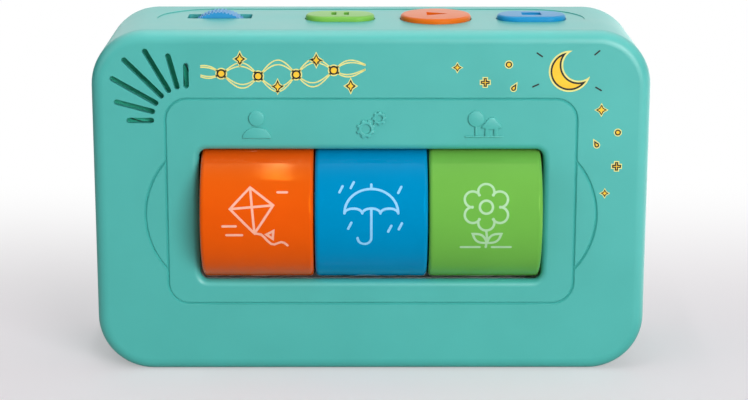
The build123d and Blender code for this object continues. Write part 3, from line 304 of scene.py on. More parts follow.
front_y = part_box("front_housing")[0].y
sign_height = 0.7 * mm
sign_root = 0.4 * mm
sign_bevel = 0.34 * mm
sharp_edge = math.radians(50)


def select(*objects):
    """Selects these objects alone and makes the last one active."""
    bpy.ops.object.select_all(action="DESELECT")
    for item in objects:
        item.select_set(True)
    bpy.context.view_layer.objects.active = objects[-1]


def settle(item):
    """Moves an object's place, turn and size into its mesh."""
    select(item)
    bpy.ops.object.transform_apply(location=True, rotation=True, scale=True)
    return item


def join(name, items):
    """Joins several meshes into one piece."""
    select(*items)
    bpy.ops.object.join()
    joined = bpy.context.object
    joined.name = name
    joined.data.name = name
    return settle(joined)


def add_modifier(item, kind, **settings):
    """Adds one modifier and applies it."""
    select(item)
    modifier = item.modifiers.new(kind.lower(), kind)
    for key, value in settings.items():
        setattr(modifier, key, value)
    bpy.ops.object.modifier_apply(modifier=modifier.name)


def soften(item, width):
    """Rounds a solid's sharp edges."""
    add_modifier(item, "BEVEL", width=width, segments=3, limit_method="ANGLE", angle_limit=sharp_edge)


def cut(item, cutter):
    """Takes a cutter's shape out of a piece."""
    add_modifier(item, "BOOLEAN", object=cutter, operation="DIFFERENCE", solver="EXACT")
    bpy.data.objects.remove(cutter)


def smooth(item, degrees=35):
    """Shades a piece smooth, with sharp edges kept."""
    select(item)
    bpy.ops.object.shade_smooth_by_angle(angle=math.radians(degrees))


def flat_face(points):
    """One flat face with this outline, from (x, y, z) points in metres."""
    bpy.ops.mesh.primitive_circle_add(vertices=len(points), fill_type="NGON")
    item = bpy.context.object
    for vertex, point in zip(item.data.vertices, points):
        vertex.co = point
    item.data.update()
    return item


def prism(points, move, far_end=1.0):
    """A closed solid: an outline drawn out by a move, in metres, with its far end scaled about Z."""
    solid = flat_face(points)
    select(solid)
    bpy.ops.object.mode_set(mode="EDIT")
    bpy.ops.mesh.select_all(action="SELECT")
    bpy.ops.mesh.extrude_region_move(TRANSFORM_OT_translate={"value": move})
    bpy.ops.transform.resize(value=(far_end, far_end, 1), center_override=(0, 0, 0))
    bpy.ops.mesh.select_all(action="SELECT")
    bpy.ops.mesh.normals_make_consistent(inside=False)
    bpy.ops.object.mode_set(mode="OBJECT")
    return solid


def ring_points(x, z, radius, count, turn=0.0, squash=1.0):
    """Points round a centre, anticlockwise as seen from the front."""
    angles = [math.radians(turn) + 2 * math.pi * i / count for i in range(count)]
    return [(x + radius * math.cos(a), z + radius * squash * math.sin(a)) for a in angles]


def arc_points(x, z, radius, start, end, count, squash=1.0):
    """Points along an arc from one angle to another, in degrees."""
    angles = [math.radians(start + (end - start) * i / (count - 1)) for i in range(count)]
    return [(x + radius * math.cos(a), z + radius * squash * math.sin(a)) for a in angles]


def raised_sign(points, hole=None):
    """A low pad with this outline in mm, standing proud of the front, with an optional round hole."""
    pad = prism([(x * mm, front_y + sign_root, z * mm) for x, z in points], (0, -sign_height - sign_root, 0))
    if hole:
        x, z, radius = hole
        bpy.ops.mesh.primitive_cylinder_add(
            vertices=32,
            radius=radius * mm,
            depth=4 * (sign_height + sign_root),
            location=(x * mm, front_y, z * mm),
            rotation=(math.radians(90), 0, 0),
        )
        cut(pad, bpy.context.object)
    soften(pad, sign_bevel)
    return pad


def gear_points(x, z, radius, teeth, tooth_height, turn):
    """Outline of a small gear with square teeth."""
    points = []
    for i in range(teeth):
        for share, out in ((0.0, 0), (0.25, 0), (0.30, 1), (0.70, 1), (0.75, 0)):
            angle = math.radians(turn) + 2 * math.pi * (i + share) / teeth
            reach = radius + out * tooth_height
            points.append((x + reach * math.cos(angle), z + reach * math.sin(angle)))
    return points


person = [
    raised_sign(ring_points(-36.9, 85.2, 2.55, 40)),
    raised_sign(
        [(-41.4, 78.7), (-32.3, 78.7)] + arc_points(-36.85, 78.9, 4.55, 0, 180, 24, squash=0.74)
    ),
]
gears = [
    raised_sign(gear_points(-1.7, 81.75, 2.45, 8, 0.62, 0), hole=(-1.7, 81.75, 1.6)),
    raised_sign(gear_points(2.57, 85.3, 1.80, 8, 0.50, 22), hole=(2.57, 85.3, 1.12)),
]
tree_and_house = [
    raised_sign(ring_points(33.7, 85.1, 2.6, 36)),
    raised_sign([(33.35, 79.4), (34.05, 79.4), (34.05, 82.9), (33.35, 82.9)]),
    raised_sign([(30.2, 79.05), (42.6, 79.05), (42.6, 79.5), (30.2, 79.5)]),
    raised_sign(
        [(36.6, 79.3), (38.0, 79.3), (38.0, 81.6), (39.5, 81.6), (39.5, 79.3), (40.9, 79.3)]
        + [(40.9, 82.0), (42.0, 82.0), (42.0, 82.6), (39.5, 85.5)]
        + [(38.0, 85.5), (35.5, 82.6), (35.5, 82.0), (36.6, 82.0)]
    ),
]
for sign_name, parts in (("sign_person", person), ("sign_gears", gears), ("sign_tree_house", tree_and_house)):
    sign = join(sign_name, parts)
    smooth(sign)
    coat(sign, teal_abs)
    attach(sign, "case")

# ---------------------------------------------------------------- printed figures
# Pad prints in three inks, laid one on another: a pale yellow ground, a black line and a yellow fill.
# A braided line with beads runs beside the grille, and a moon with small figures fills the other corner.

ink_film = 0.02 * mm
ink_mottle = 1.2 * mm
ink_halo = 0.42
ink_line = 0.52
least_mitre = 0.45


def pad_printed_ink(name, colour):
    """Pad-printed ink: a satin film, very slightly uneven where it was pressed on."""
    material = blank_material(name)
    paint = mottled(material, noise(material, ink_mottle, detail=2.0), colour, (0.96, 1.04))
    return surface(material, {"Base Color": (paint, "Color"), "Roughness": 0.42, "Specular IOR Level": 0.4})


pale_yellow_ink = pad_printed_ink("pale_yellow_pad_ink", "#E6DE86")
black_ink = pad_printed_ink("black_pad_ink", "#14120E")
yellow_ink = pad_printed_ink("yellow_pad_ink", "#F8C52C")


def ink_patch(points, layer, ink):
    """A thin patch of ink with this outline in mm; each layer lies a little higher than the last."""
    patch = flat_face([(x * mm, front_y - layer * ink_film, z * mm) for x, z in points])
    add_modifier(patch, "SOLIDIFY", thickness=(layer + 1) * ink_film, offset=-1)
    coat(patch, ink)
    return patch


def three_ink_figure(outline, halo=ink_halo, line=ink_line):
    """A figure in three inks; outline(d) gives its outline drawn in by d mm."""
    return [
        ink_patch(outline(0), 1, pale_yellow_ink),
        ink_patch(outline(halo), 2, black_ink),
        ink_patch(outline(halo + line), 3, yellow_ink),
    ]


def disc(x, z, radius):
    """A round spot."""
    return lambda d: ring_points(x, z, radius - d, 28)


def diamond(x, z, width, height):
    """A four-pointed kite shape with slightly hollow sides."""
    def outline(d):
        half_width = width / 2 - 1.5 * d
        half_height = height / 2 - 1.5 * d
        waist = 0.72
        corners = [(half_width, 0), (0, half_height), (-half_width, 0), (0, -half_height)]
        points = []
        for (u, v), (next_u, next_v) in zip(corners, corners[1:] + corners[:1]):
            points.append((x + u, z + v))
            points.append((x + (u + next_u) / 2 * waist, z + (v + next_v) / 2 * waist))
        return points
    return outline


def cross_points(a, b):
    """Outline of a cross about the origin with arms of half width a and reach b."""
    return [
        (b, -a), (b, a), (a, a), (a, b), (-a, b), (-a, a),
        (-b, a), (-b, -a), (-a, -a), (-a, -b), (a, -b), (a, -a),
    ]


def plus_sign(x, z, reach, half_width):
    """An upright cross."""
    return lambda d: [(x + u, z + v) for u, v in cross_points(half_width - d, reach - d)]


def turned(points, x, z, turn):
    """Points about the origin, turned by some degrees and moved to a place."""
    c = math.cos(math.radians(turn))
    s = math.sin(math.radians(turn))
    return [(x + c * u - s * v, z + s * u + c * v) for u, v in points]


def drop(x, z, radius, turn):
    """A drop: a round end drawn out to a point."""
    def outline(d):
        r = radius - d
        tip = 2.3 * r
        spread = math.degrees(math.acos(r / tip))
        return turned(arc_points(0, 0, r, spread, 360 - spread, 24) + [(tip, 0)], x, z, turn)
    return outline


def crescent(x, z, radius, bite_radius, bite_distance, turn):
    """A moon: a disc with a smaller disc bitten out of it."""
    def outline(d):
        big = radius - d
        small = bite_radius + d
        along = (big**2 - small**2 + bite_distance**2) / (2 * bite_distance)
        tip_big = math.degrees(math.acos(along / big))
        tip_small = math.degrees(math.atan2(big * math.sin(math.radians(tip_big)), along - bite_distance))
        points = arc_points(0, 0, big, tip_big, 360 - tip_big, 48)
        points += arc_points(bite_distance, 0, small, 360 - tip_small, tip_small, 34)[1:-1]
        return turned(points, x, z, turn)
    return outline


def stroke_edges(points, width, closed=False):
    """Left and right edges of a line of this width, mitred at its corners and round at its ends."""
    count = len(points)
    left, right = [], []
    for i, (x, z) in enumerate(points):
        before = points[i - 1] if i or closed else None
        after = points[(i + 1) % count] if i < count - 1 or closed else None
        normals = []
        for a, b in ((before, (x, z)), ((x, z), after)):
            if a and b:
                length = math.hypot(b[0] - a[0], b[1] - a[1])
                normals.append(((a[1] - b[1]) / length, (b[0] - a[0]) / length))
        u = sum(n[0] for n in normals)
        v = sum(n[1] for n in normals)
        size = math.hypot(u, v)
        u, v = u / size, v / size
        reach = width / 2 / max(least_mitre, u * normals[0][0] + v * normals[0][1])
        left.append((x + reach * u, z + reach * v))
        right.append((x - reach * u, z - reach * v))
    if closed:
        return left + left[:1], right + right[:1]
    for end, inner, sign in ((points[0], points[1], -1), (points[-1], points[-2], 1)):
        length = math.hypot(end[0] - inner[0], end[1] - inner[1])
        u, v = (end[0] - inner[0]) / length, (end[1] - inner[1]) / length
        caps = [
            (width / 2 * math.sin(math.radians(a)), width / 2 * math.cos(math.radians(a)))
            for a in (30, 60, 85)
        ]
        cap_left = [
            (end[0] + out * u - sign * half * v, end[1] + out * v + sign * half * u) for out, half in caps
        ]
        cap_right = [
            (end[0] + out * u + sign * half * v, end[1] + out * v - sign * half * u) for out, half in caps
        ]
        if sign > 0:
            left += cap_left
            right += cap_right
        else:
            left = cap_left[::-1] + left
            right = cap_right[::-1] + right
    return left, right


def weld(item, distance):
    """Merges the points of a mesh that lie within a distance of one another."""
    select(item)
    bpy.ops.object.mode_set(mode="EDIT")
    bpy.ops.mesh.select_all(action="SELECT")
    bpy.ops.mesh.remove_doubles(threshold=distance)
    bpy.ops.object.mode_set(mode="OBJECT")


def stroke(points, width, closed=False):
    """A flat strip along a line, in mm, as a mesh whose columns run from its start to its end."""
    left, right = stroke_edges(points, width, closed)
    bpy.ops.mesh.primitive_grid_add(x_subdivisions=len(left) - 1, y_subdivisions=1)
    strip = bpy.context.object
    for vertex, (x, z) in zip(strip.data.vertices, right + left):
        vertex.co = (x, 0, z)
    if closed:
        weld(strip, 0.001)
    return strip


def ink_stroke(points, width, layer, ink):
    """A line of ink on the front."""
    strip = stroke(points, width)
    for vertex in strip.data.vertices:
        vertex.co = (vertex.co.x * mm, front_y - layer * ink_film, vertex.co.z * mm)
    add_modifier(strip, "SOLIDIFY", thickness=(layer + 1) * ink_film, offset=-1)
    coat(strip, ink)
    return strip


braid_start_x = -54.5
braid_end_x = -2.0
braid_z = 100.6
braid_dip = 1.6
braid_dip_length = 40
braid_height = 4.4
braid_length = 24.0
braid_least_swell = 0.35
braid_steps = 90
braid_line = 0.4
bead_radius = 1.9


def braid_middle(x):
    """Height of the braid's middle, which dips and then climbs to its right end."""
    return braid_z - braid_dip * math.sin(math.pi * (x - braid_start_x) / braid_dip_length)


def braid_strand(height, phase):
    """Points along a wave that narrows towards both ends of the braid."""
    points = []
    for i in range(braid_steps + 1):
        share = i / braid_steps
        x = braid_start_x + (braid_end_x - braid_start_x) * share
        swell = braid_least_swell + (1 - braid_least_swell) * math.sin(math.pi * share)
        rise = swell * height * math.sin(2 * math.pi * x / braid_length + phase)
        points.append((x, braid_middle(x) + rise))
    return points


print_parts = []
for phase in (0, math.pi):
    for lift in (-0.75, 0.75):
        strand = braid_strand(braid_height + lift, phase)
        print_parts.append(ink_stroke(strand, braid_line, 1, pale_yellow_ink))
for bead_x in (-48.0, -36.2, -24.0, -12.0):
    print_parts += three_ink_figure(disc(bead_x, braid_middle(bead_x), bead_radius))
for point_x, point_z in ((-42.0, 104.6), (-30.0, 95.6), (-17.6, 104.2), (-6.6, 95.8)):
    print_parts += three_ink_figure(diamond(point_x, point_z, 4.8, 5.6))
left_print = join("printed_braid", print_parts)
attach(left_print, "case")

print_parts = three_ink_figure(crescent(63.5, 100.6, 6.7, 5.1, 3.6, 35), halo=0.55, line=0.6)
for ray_x, ray_z, ray_turn in ((54.6, 105.4, 145), (53.6, 96.4, 205), (71.4, 106.0, 40), (72.0, 95.4, -30)):
    ray = turned([(0, 0), (1.0, 0), (2.0, 0)], ray_x, ray_z, ray_turn)
    print_parts.append(ink_stroke(ray, 0.5, 2, black_ink))
for figure in (
    diamond(27.5, 101.8, 3.8, 3.8),
    plus_sign(36.5, 97.0, 1.75, 0.85),
    disc(44.0, 102.8, 1.35),
    drop(45.6, 95.0, 1.1, 60),
    diamond(74.0, 88.0, 4.6, 4.6),
    disc(79.5, 80.6, 1.3),
    drop(72.8, 76.4, 1.1, 120),
    plus_sign(79.4, 69.4, 1.75, 0.85),
    diamond(75.8, 60.4, 3.6, 3.6),
):
    print_parts += three_ink_figure(figure, halo=0.32, line=0.42)
right_print = join("printed_moon", print_parts)
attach(right_print, "case")

# ---------------------------------------------------------------- picture drums
# Three gloss ABS barrels in orange, blue and green. Each carries four line pictures a quarter turn
# apart, printed in a paler tint of its own colour, and clicks from one to the next.

for drum_name, colour_name, colour, sheen, gleam in (
    ("left", "orange", "#E4560C", "#FFB428", 0.18),
    ("middle", "blue", "#0088BC", "#0098D8", 0.18),
    ("right", "green", "#6CB048", "#C0F080", 0.16),
):
    gloss_abs = moulded_plastic(
        f"moulded_{colour_name}_abs", colour, 0.06, 0.5 * mm, 0.0008 * mm, sheen=sheen, gleam=gleam
    )
    finish(f"drum_shell_{drum_name}", gloss_abs)

drum_low, drum_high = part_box("drum_shell_middle")
drum_axis_y = (drum_low.y + drum_high.y) / 2
drum_axis_z = (drum_low.z + drum_high.z) / 2
drum_radius = (drum_high.z - drum_low.z) / 2
picture_tilt = math.radians(5.5)
picture_line = 0.78
picture_step = 0.8


def dense(points, closed=False):
    """The same line with a point at least every picture_step mm, so that it can bend round a drum."""
    rounds = points + points[:1] if closed else points
    result = []
    for (x, z), (next_x, next_z) in zip(rounds, rounds[1:]):
        parts = max(1, math.ceil(math.hypot(next_x - x, next_z - z) / picture_step))
        result += [(x + (next_x - x) * i / parts, z + (next_z - z) * i / parts) for i in range(parts)]
    return result if closed else result + [points[-1]]


def leaf_points(x, z, length, width, turn):
    """Outline of a pointed leaf that starts at a point and leans by a turn in degrees."""
    half = [(length * i / 10, width / 2 * math.sin(math.pi * i / 10)) for i in range(11)]
    return turned(half + [(u, -v) for u, v in half[-2:0:-1]], x, z, turn)


def spiral_points(x, z, start_radius, end_radius, turns, start):
    """Points along a spiral that opens anticlockwise from an angle in degrees."""
    count = int(30 * turns)
    points = []
    for i in range(count + 1):
        angle = math.radians(start) + 2 * math.pi * turns * i / count
        radius = start_radius + (end_radius - start_radius) * i / count
        points.append((x + radius * math.cos(angle), z + radius * math.sin(angle)))
    return points


# each figure is a list of open lines and a list of closed ones, in mm about its middle
kite = (
    [
        [(-2.0, 10.0), (-0.6, -5.0)],
        [(-8.4, 3.0), (5.4, 4.2)],
        [(-0.6, -5.0)] + [(-0.6 + 1.05 * i, -5.6 - 0.42 * i + 1.1 * math.sin(0.9 * i)) for i in range(1, 11)],
        [(-10.8, -2.6), (-6.6, -2.6)],
        [(-9.6, -5.6), (-4.6, -5.6)],
        [(6.8, 8.4), (9.8, 8.4)],
    ],
    [[(-2.0, 10.0), (5.4, 4.2), (-0.6, -5.0), (-8.4, 3.0)], [(3.2, -5.4), (5.4, -4.2), (5.2, -6.9)]],
)
umbrella = (
    [
        arc_points(0, 1.6, 8.6, 0, 180, 30, squash=0.92),
        arc_points(-5.75, 1.6, 2.85, 0, 180, 12, squash=0.55),
        arc_points(0, 1.6, 2.9, 0, 180, 12, squash=0.55),
        arc_points(5.75, 1.6, 2.85, 0, 180, 12, squash=0.55),
        [(0, 9.5), (0, 11.0)],
        [(0, 3.2), (0, -6.6)] + arc_points(-2.2, -6.6, 2.2, 0, -180, 12)[1:],
    ]
    + [
        [(x, z), (x - 1.0, z - 2.0)]
        for x, z in ((-9.2, 10.4), (-5.6, 11.8), (9.6, 10.2), (6.4, -2.4), (9.8, -1.6), (-6.4, -1.4))
    ],
    [],
)
flower = (
    [
        arc_points(x, z, 2.6, a - 118, a + 118, 16)
        for a, (x, z) in zip(range(30, 390, 60), ring_points(0, 3.6, 5.0, 6, turn=30))
    ]
    + [
        [(0, -4.0), (0.4, -7.0), (0, -10.0)],
        [(-8.0, -10.0), (-2.0, -10.0)],
        [(2.0, -10.0), (8.0, -10.0)],
    ],
    [ring_points(0, 3.6, 2.1, 24)] + [leaf_points(0.3, -8.4, 5.6, 2.6, turn) for turn in (35, 145)],
)
fish = (
    [
        arc_points(-1.0, -5.2, 9.6, 35, 145, 24),
        arc_points(-1.0, 5.8, 9.6, 215, 325, 24),
        [(6.8, 0.3), (10.6, 4.4), (10.0, 0.3), (10.6, -3.8), (6.8, 0.3)],
        arc_points(-9.0, 0.3, 5.4, -38, 38, 10),
        arc_points(1.2, 0.3, 2.2, 110, 250, 8),
        arc_points(4.0, 0.3, 1.8, 110, 250, 8),
    ],
    [ring_points(-6.3, 1.2, 0.6, 10)],
)
cup = (
    [
        arc_points(7.2, -1.0, 3.1, 70, -80, 16),
        [(-3.0, 6.6), (-3.6, 8.0), (-2.4, 9.0), (-3.0, 10.4)],
        [(1.4, 6.6), (0.8, 8.0), (2.0, 9.0), (1.4, 10.4)],
        [(-10.0, -7.8), (9.4, -7.8)],
    ],
    [[(-7.4, 3.8), (6.6, 3.8), (5.4, -5.6), (-6.2, -5.6)]],
)
bell = (
    [
        [(-8.0, -6.0), (-6.2, -3.8), (-5.4, -0.2)]
        + arc_points(0, 0.4, 5.4, 172, 8, 18)
        + [(5.4, -0.2), (6.2, -3.8), (8.0, -6.0)],
        [(-9.2, -6.4), (9.2, -6.4)],
        arc_points(0, -6.6, 2.4, 190, 350, 10),
        arc_points(-1.4, 0.4, 9.4, 150, 176, 6),
        arc_points(1.4, 0.4, 9.4, 4, 30, 6),
    ],
    [],
)
tent = (
    [
        [(-10.2, -6.6), (10.2, -6.6)],
        [(0, 8.6), (0.6, 9.8)],
        [(0, 2.6), (-3.4, -6.4)],
        [(0, 2.6), (3.4, -6.4)],
        [(7.2, 7.8), (9.2, 7.8)],
    ],
    [[(0, 8.6), (8.4, -6.4), (-8.4, -6.4)]],
)
key = (
    [
        [(-2.2, -0.4), (9.6, -0.4)],
        [(9.6, -0.4), (9.6, -4.4)],
        [(6.4, -0.4), (6.4, -3.6)],
        [(3.2, -0.4), (3.2, -2.6)],
    ],
    [ring_points(-6.2, -0.4, 4.2, 28), ring_points(-7.4, -0.4, 1.2, 14)],
)
cloud = (
    [
        arc_points(-5.6, 0.6, 3.4, 260, 92, 14),
        arc_points(-1.4, 3.4, 4.6, 168, 30, 16),
        arc_points(5.2, 1.4, 4.0, 108, -82, 16),
        [(-6.2, -2.75), (5.8, -2.55)],
        [(-4.4, -5.4), (-5.6, -8.2)],
        [(0.2, -5.4), (-1.0, -8.2)],
        [(4.8, -5.4), (3.6, -8.2)],
    ],
    [],
)
leaf = (
    [
        [(-8.4, -8.4), (5.6, 5.6)],
        [(-2.4, -2.4), (-2.4, 2.6)],
        [(-2.4, -2.4), (2.6, -2.4)],
        [(1.4, 1.4), (1.4, 5.4)],
        [(1.4, 1.4), (5.4, 1.4)],
    ],
    [leaf_points(-5.8, -5.8, 19.5, 11.0, 45)],
)
apple = (
    [
        [(-0.2, 5.2)]
        + arc_points(-3.2, 1.2, 5.2, 65, 232, 20)
        + [(-3.6, -7.4), (-1.4, -8.2), (0, -7.6), (1.4, -8.2), (3.6, -7.4)]
        + arc_points(3.2, 1.2, 5.2, -52, 115, 20)
        + [(-0.2, 5.2)],
        [(-0.2, 5.2), (0.2, 7.4), (1.4, 9.4)],
        arc_points(3.4, 1.6, 2.6, 10, 70, 7),
    ],
    [leaf_points(0.6, 7.2, 5.4, 2.6, 20)],
)
snail = (
    [
        spiral_points(-1.4, 0.6, 0.8, 6.0, 2.4, 20),
        [(-9.8, -6.2), (-7.0, -5.6), (-3.0, -6.0), (3.6, -6.0), (6.2, -4.8), (7.0, -1.4)]
        + [(8.4, 0.6), (10.0, -0.6), (9.6, -3.8), (7.6, -6.2), (-9.8, -6.2)],
        [(8.0, 0.8), (7.2, 4.0)],
        [(9.6, 0.2), (10.6, 3.2)],
    ],
    [],
)

drum_prints = (
    ("left", "#F1AD94", (kite, fish, cup, bell)),
    ("middle", "#86C7F0", (umbrella, tent, key, cloud)),
    ("right", "#A4CF9F", (flower, leaf, apple, snail)),
)
for drum_name, tint, figures in drum_prints:
    low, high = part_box(f"drum_shell_{drum_name}")
    middle_x = (low.x + high.x) / 2
    ink = pad_printed_ink(f"{drum_name}_drum_pad_ink", tint)
    lines = []
    for quarter, (open_lines, closed_lines) in enumerate(figures):
        strips = [stroke(dense(points), picture_line) for points in open_lines]
        strips += [stroke(dense(points, True), picture_line, closed=True) for points in closed_lines]
        for strip in strips:
            for vertex in strip.data.vertices:
                angle = picture_tilt + quarter * math.pi / 2 + vertex.co.z * mm / drum_radius
                radius = drum_radius + ink_film
                vertex.co = (
                    middle_x + vertex.co.x * mm,
                    drum_axis_y - radius * math.cos(angle),
                    drum_axis_z + radius * math.sin(angle),
                )
        lines += strips
    pictures = join(f"drum_pictures_{drum_name}", lines)
    add_modifier(pictures, "SOLIDIFY", thickness=2 * ink_film, offset=-1)
    coat(pictures, ink)
    smooth(pictures)
    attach(pictures, f"drum_{drum_name}")

# ---------------------------------------------------------------- drum mechanism
# Inside each drum an acetal cap in the drum's colour, with a notched crown, closes the barrel, and a
# springy bush of natural acetal on the shaft clicks into it. Nickel-plated magnets in pockets tell the
# board which picture shows.


def plated_metal(name, colour, roughness, streak):
    """Plated or bright metal: a clean reflection, slightly streaked by the way it was drawn or rolled."""
    material = blank_material(name)
    place = add(material, "ShaderNodeTexCoord")
    stretch = add(
        material,
        "ShaderNodeMapping",
        {"Vector": (place, "Object"), "Scale": (1 / (6 * streak), 1 / streak, 1 / streak)},
    )
    streaks = add(
        material, "ShaderNodeTexNoise", {"Vector": (stretch, "Vector"), "Scale": 1.0, "Detail": 3.0}
    )
    paint = mottled(material, streaks, colour, (0.93, 1.05))
    gloss = ramp(material, (streaks, "Fac"), noise_ends, (roughness * 0.7, roughness * 1.3))
    inputs = {"Base Color": (paint, "Color"), "Metallic": 1.0, "Roughness": (gloss, "Result")}
    return surface(material, inputs)


acetal = moulded_plastic("moulded_natural_acetal", "#EAE7DC", 0.32, 0.6 * mm, 0.002 * mm)
nickel = plated_metal("nickel_plated_magnet", "#C9C6BE", 0.18, 0.4 * mm)

for drum_name, colour_name, colour in (
    ("left", "orange", "#D9520E"),
    ("middle", "blue", "#0A7FB0"),
    ("right", "green", "#62A542"),
):
    cap_acetal = moulded_plastic(f"moulded_{colour_name}_acetal", colour, 0.32, 0.6 * mm, 0.002 * mm)
    finish(f"drum_cap_{drum_name}", cap_acetal)
    finish(f"click_spring_{drum_name}", acetal)
    finish(f"drum_magnets_{drum_name}", nickel)

# ---------------------------------------------------------------- shaft and cradle
# A drawn steel shaft, flatted so that it can't turn, held by two spring clips in a white ABS cradle
# that is screwed to posts on the back of the front wall.

bright_steel = plated_metal("drawn_bright_steel", "#C4C5C7", 0.22, 0.2 * mm)
zinc_steel = plated_metal("zinc_plated_steel", "#B9BCC0", 0.30, 0.5 * mm)
white_abs = moulded_plastic("moulded_white_abs", "#E4E4E0", 0.42, 0.5 * mm, 0.004 * mm)

finish("drum_shaft", bright_steel)
finish("shaft_clips", zinc_steel)
finish("drum_cradle", white_abs)

weld_distance = 1e-6
thread_pitch = 0.9
screw_point = 1.2
# the thread as a share of the screw's radius, the recess as shares of its head's
thread_depth = 0.28
recess_reach = 0.62
recess_half_width = 0.17
recess_taper = 0.45


def solid_boxes(node_name):
    """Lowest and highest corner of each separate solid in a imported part."""
    mesh = nodes[node_name].data
    where = {}
    same = list(range(len(mesh.vertices)))

    def root(i):
        while same[i] != i:
            same[i] = same[same[i]]
            i = same[i]
        return i

    for vertex in mesh.vertices:
        spot = tuple(round(c / weld_distance) for c in vertex.co)
        same[root(vertex.index)] = root(where.setdefault(spot, vertex.index))
    for face in mesh.polygons:
        first = root(face.vertices[0])
        for other in face.vertices[1:]:
            same[root(other)] = first
    boxes = {}
    for vertex in mesh.vertices:
        low, high = boxes.setdefault(root(vertex.index), (vertex.co.copy(), vertex.co.copy()))
        for axis in range(3):
            low[axis] = min(low[axis], vertex.co[axis])
            high[axis] = max(high[axis], vertex.co[axis])
    return list(boxes.values())


def lathe(profile, steps):
    """A turned shape about the Z axis from (radius, z) points, in mm."""
    bpy.ops.mesh.primitive_circle_add(vertices=len(profile), fill_type="NOTHING")
    shape = bpy.context.object
    for vertex, (radius, z) in zip(shape.data.vertices, profile):
        vertex.co = (radius * mm, 0, z * mm)
    select(shape)
    bpy.ops.object.mode_set(mode="EDIT")
    bpy.ops.mesh.select_all(action="SELECT")
    bpy.ops.mesh.spin(steps=steps, angle=2 * math.pi, center=(0, 0, 0), axis=(0, 0, 1))
    bpy.ops.mesh.select_all(action="SELECT")
    bpy.ops.mesh.remove_doubles(threshold=weld_distance)
    bpy.ops.mesh.normals_make_consistent(inside=False)
    bpy.ops.object.mode_set(mode="OBJECT")
    return shape


def pan_screw(length, radius, head_radius, head_height):
    """A self-tapping pan-head screw in mm: its seat at z 0, its head above, its point below."""
    core = (1 - thread_depth) * radius
    round_off = min(0.45 * head_height, 0.35 * head_radius)
    profile = (
        [(0, -length), (0.25 * core, 0.25 * screw_point - length), (core, screw_point - length), (core, 0)]
        + [(head_radius, 0)]
        + arc_points(head_radius - round_off, head_height - round_off, round_off, 0, 90, 5)
        + [(0.4 * head_radius, head_height), (0, head_height)]
    )
    body = lathe(profile, steps=28)
    recess = cross_points(recess_half_width * head_radius, recess_reach * head_radius)
    cutter = prism(
        [(x * mm, y * mm, 1.2 * head_height * mm) for x, y in recess],
        (0, 0, -head_height * mm),
        far_end=recess_taper,
    )
    cut(body, cutter)

    turns = int((length - 1.0) / thread_pitch)
    bpy.ops.mesh.primitive_circle_add(vertices=3, fill_type="NOTHING")
    thread = bpy.context.object
    start = 0.5 - length
    tooth = (
        (core - 0.1, start),
        (radius, start + 0.3 * thread_pitch),
        (core - 0.1, start + 0.6 * thread_pitch),
    )
    for vertex, (x, z) in zip(thread.data.vertices, tooth):
        vertex.co = (x * mm, 0, z * mm)
    add_modifier(
        thread,
        "SCREW",
        screw_offset=thread_pitch * mm,
        iterations=turns,
        steps=16,
        render_steps=16,
        use_normal_calculate=True,
    )
    select(thread)
    bpy.ops.object.mode_set(mode="EDIT")
    bpy.ops.mesh.select_all(action="SELECT")
    bpy.ops.mesh.fill_holes(sides=4)
    bpy.ops.mesh.select_all(action="SELECT")
    bpy.ops.mesh.normals_make_consistent(inside=False)
    bpy.ops.object.mode_set(mode="OBJECT")
    return join("pan_screw", [body, thread])


def screws_for(node_name, head_side, head_height=1.8, radius=1.3, body="case"):
    """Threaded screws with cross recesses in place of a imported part's plain ones; sizes are in mm.

    The head side is the direction that the heads face, as "+Y".
    """
    axis = "XYZ".index(head_side[1])
    facing = 1 if head_side[0] == "+" else -1
    boxes = solid_boxes(node_name)
    low, high = boxes[0]
    across = (axis + 1) % 3
    head_radius = (high[across] - low[across]) / 2 / mm
    length = (high[axis] - low[axis]) / mm - head_height
    model = pan_screw(length, radius, head_radius, head_height)
    turn = Vector((0, 0, 1)).rotation_difference(Vector([facing if i == axis else 0 for i in range(3)]))
    screws = []
    for i, (low, high) in enumerate(boxes):
        screw = model.copy()
        screw.data = model.data.copy()
        bpy.context.collection.objects.link(screw)
        seat = (low + high) / 2
        seat[axis] = high[axis] - head_height * mm if facing > 0 else low[axis] + head_height * mm
        spin = Matrix.Rotation(math.radians(37 * i + 12), 4, "Z")
        screw.matrix_world = Matrix.Translation(seat) @ turn.to_matrix().to_4x4() @ spin
        screws.append(settle(screw))
    bpy.data.objects.remove(model)
    piece = join(f"{node_name}_threaded", screws)
    smooth(piece, 40)
    coat(piece, zinc_steel)
    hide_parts(node_name)
    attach(piece, body)


screws_for("cradle_screws", "+Y")

# ---------------------------------------------------------------- control buttons
# Satin ABS caps for pause, play and stop, each hollow below with a plunger. Its sign is sunk into the
# top by the mould: two bars, a triangle and a square.

button_sign_depth = 0.95 * mm
button_sign_edge = 0.3 * mm
pause_bars = [
    [(x - 0.85, -2.7), (x + 0.85, -2.7), (x + 0.85, 2.7), (x - 0.85, 2.7)] for x in (-2.05, 2.05)
]
play_triangle = [[(-3.0, -3.4), (4.2, 0), (-3.0, 3.4)]]
stop_square = [[(-3.2, -2.7), (3.2, -2.7), (3.2, 2.7), (-3.2, 2.7)]]


def packed_copy(node_name, name):
    """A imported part's shape as a piece of its own, with its loose triangles merged."""
    piece = nodes[node_name].copy()
    piece.data = nodes[node_name].data.copy()
    piece.parent = None
    bpy.context.collection.objects.link(piece)
    piece.name = name
    select(piece)
    bpy.ops.mesh.customdata_custom_splitnormals_clear()
    weld(piece, weld_distance)
    return piece


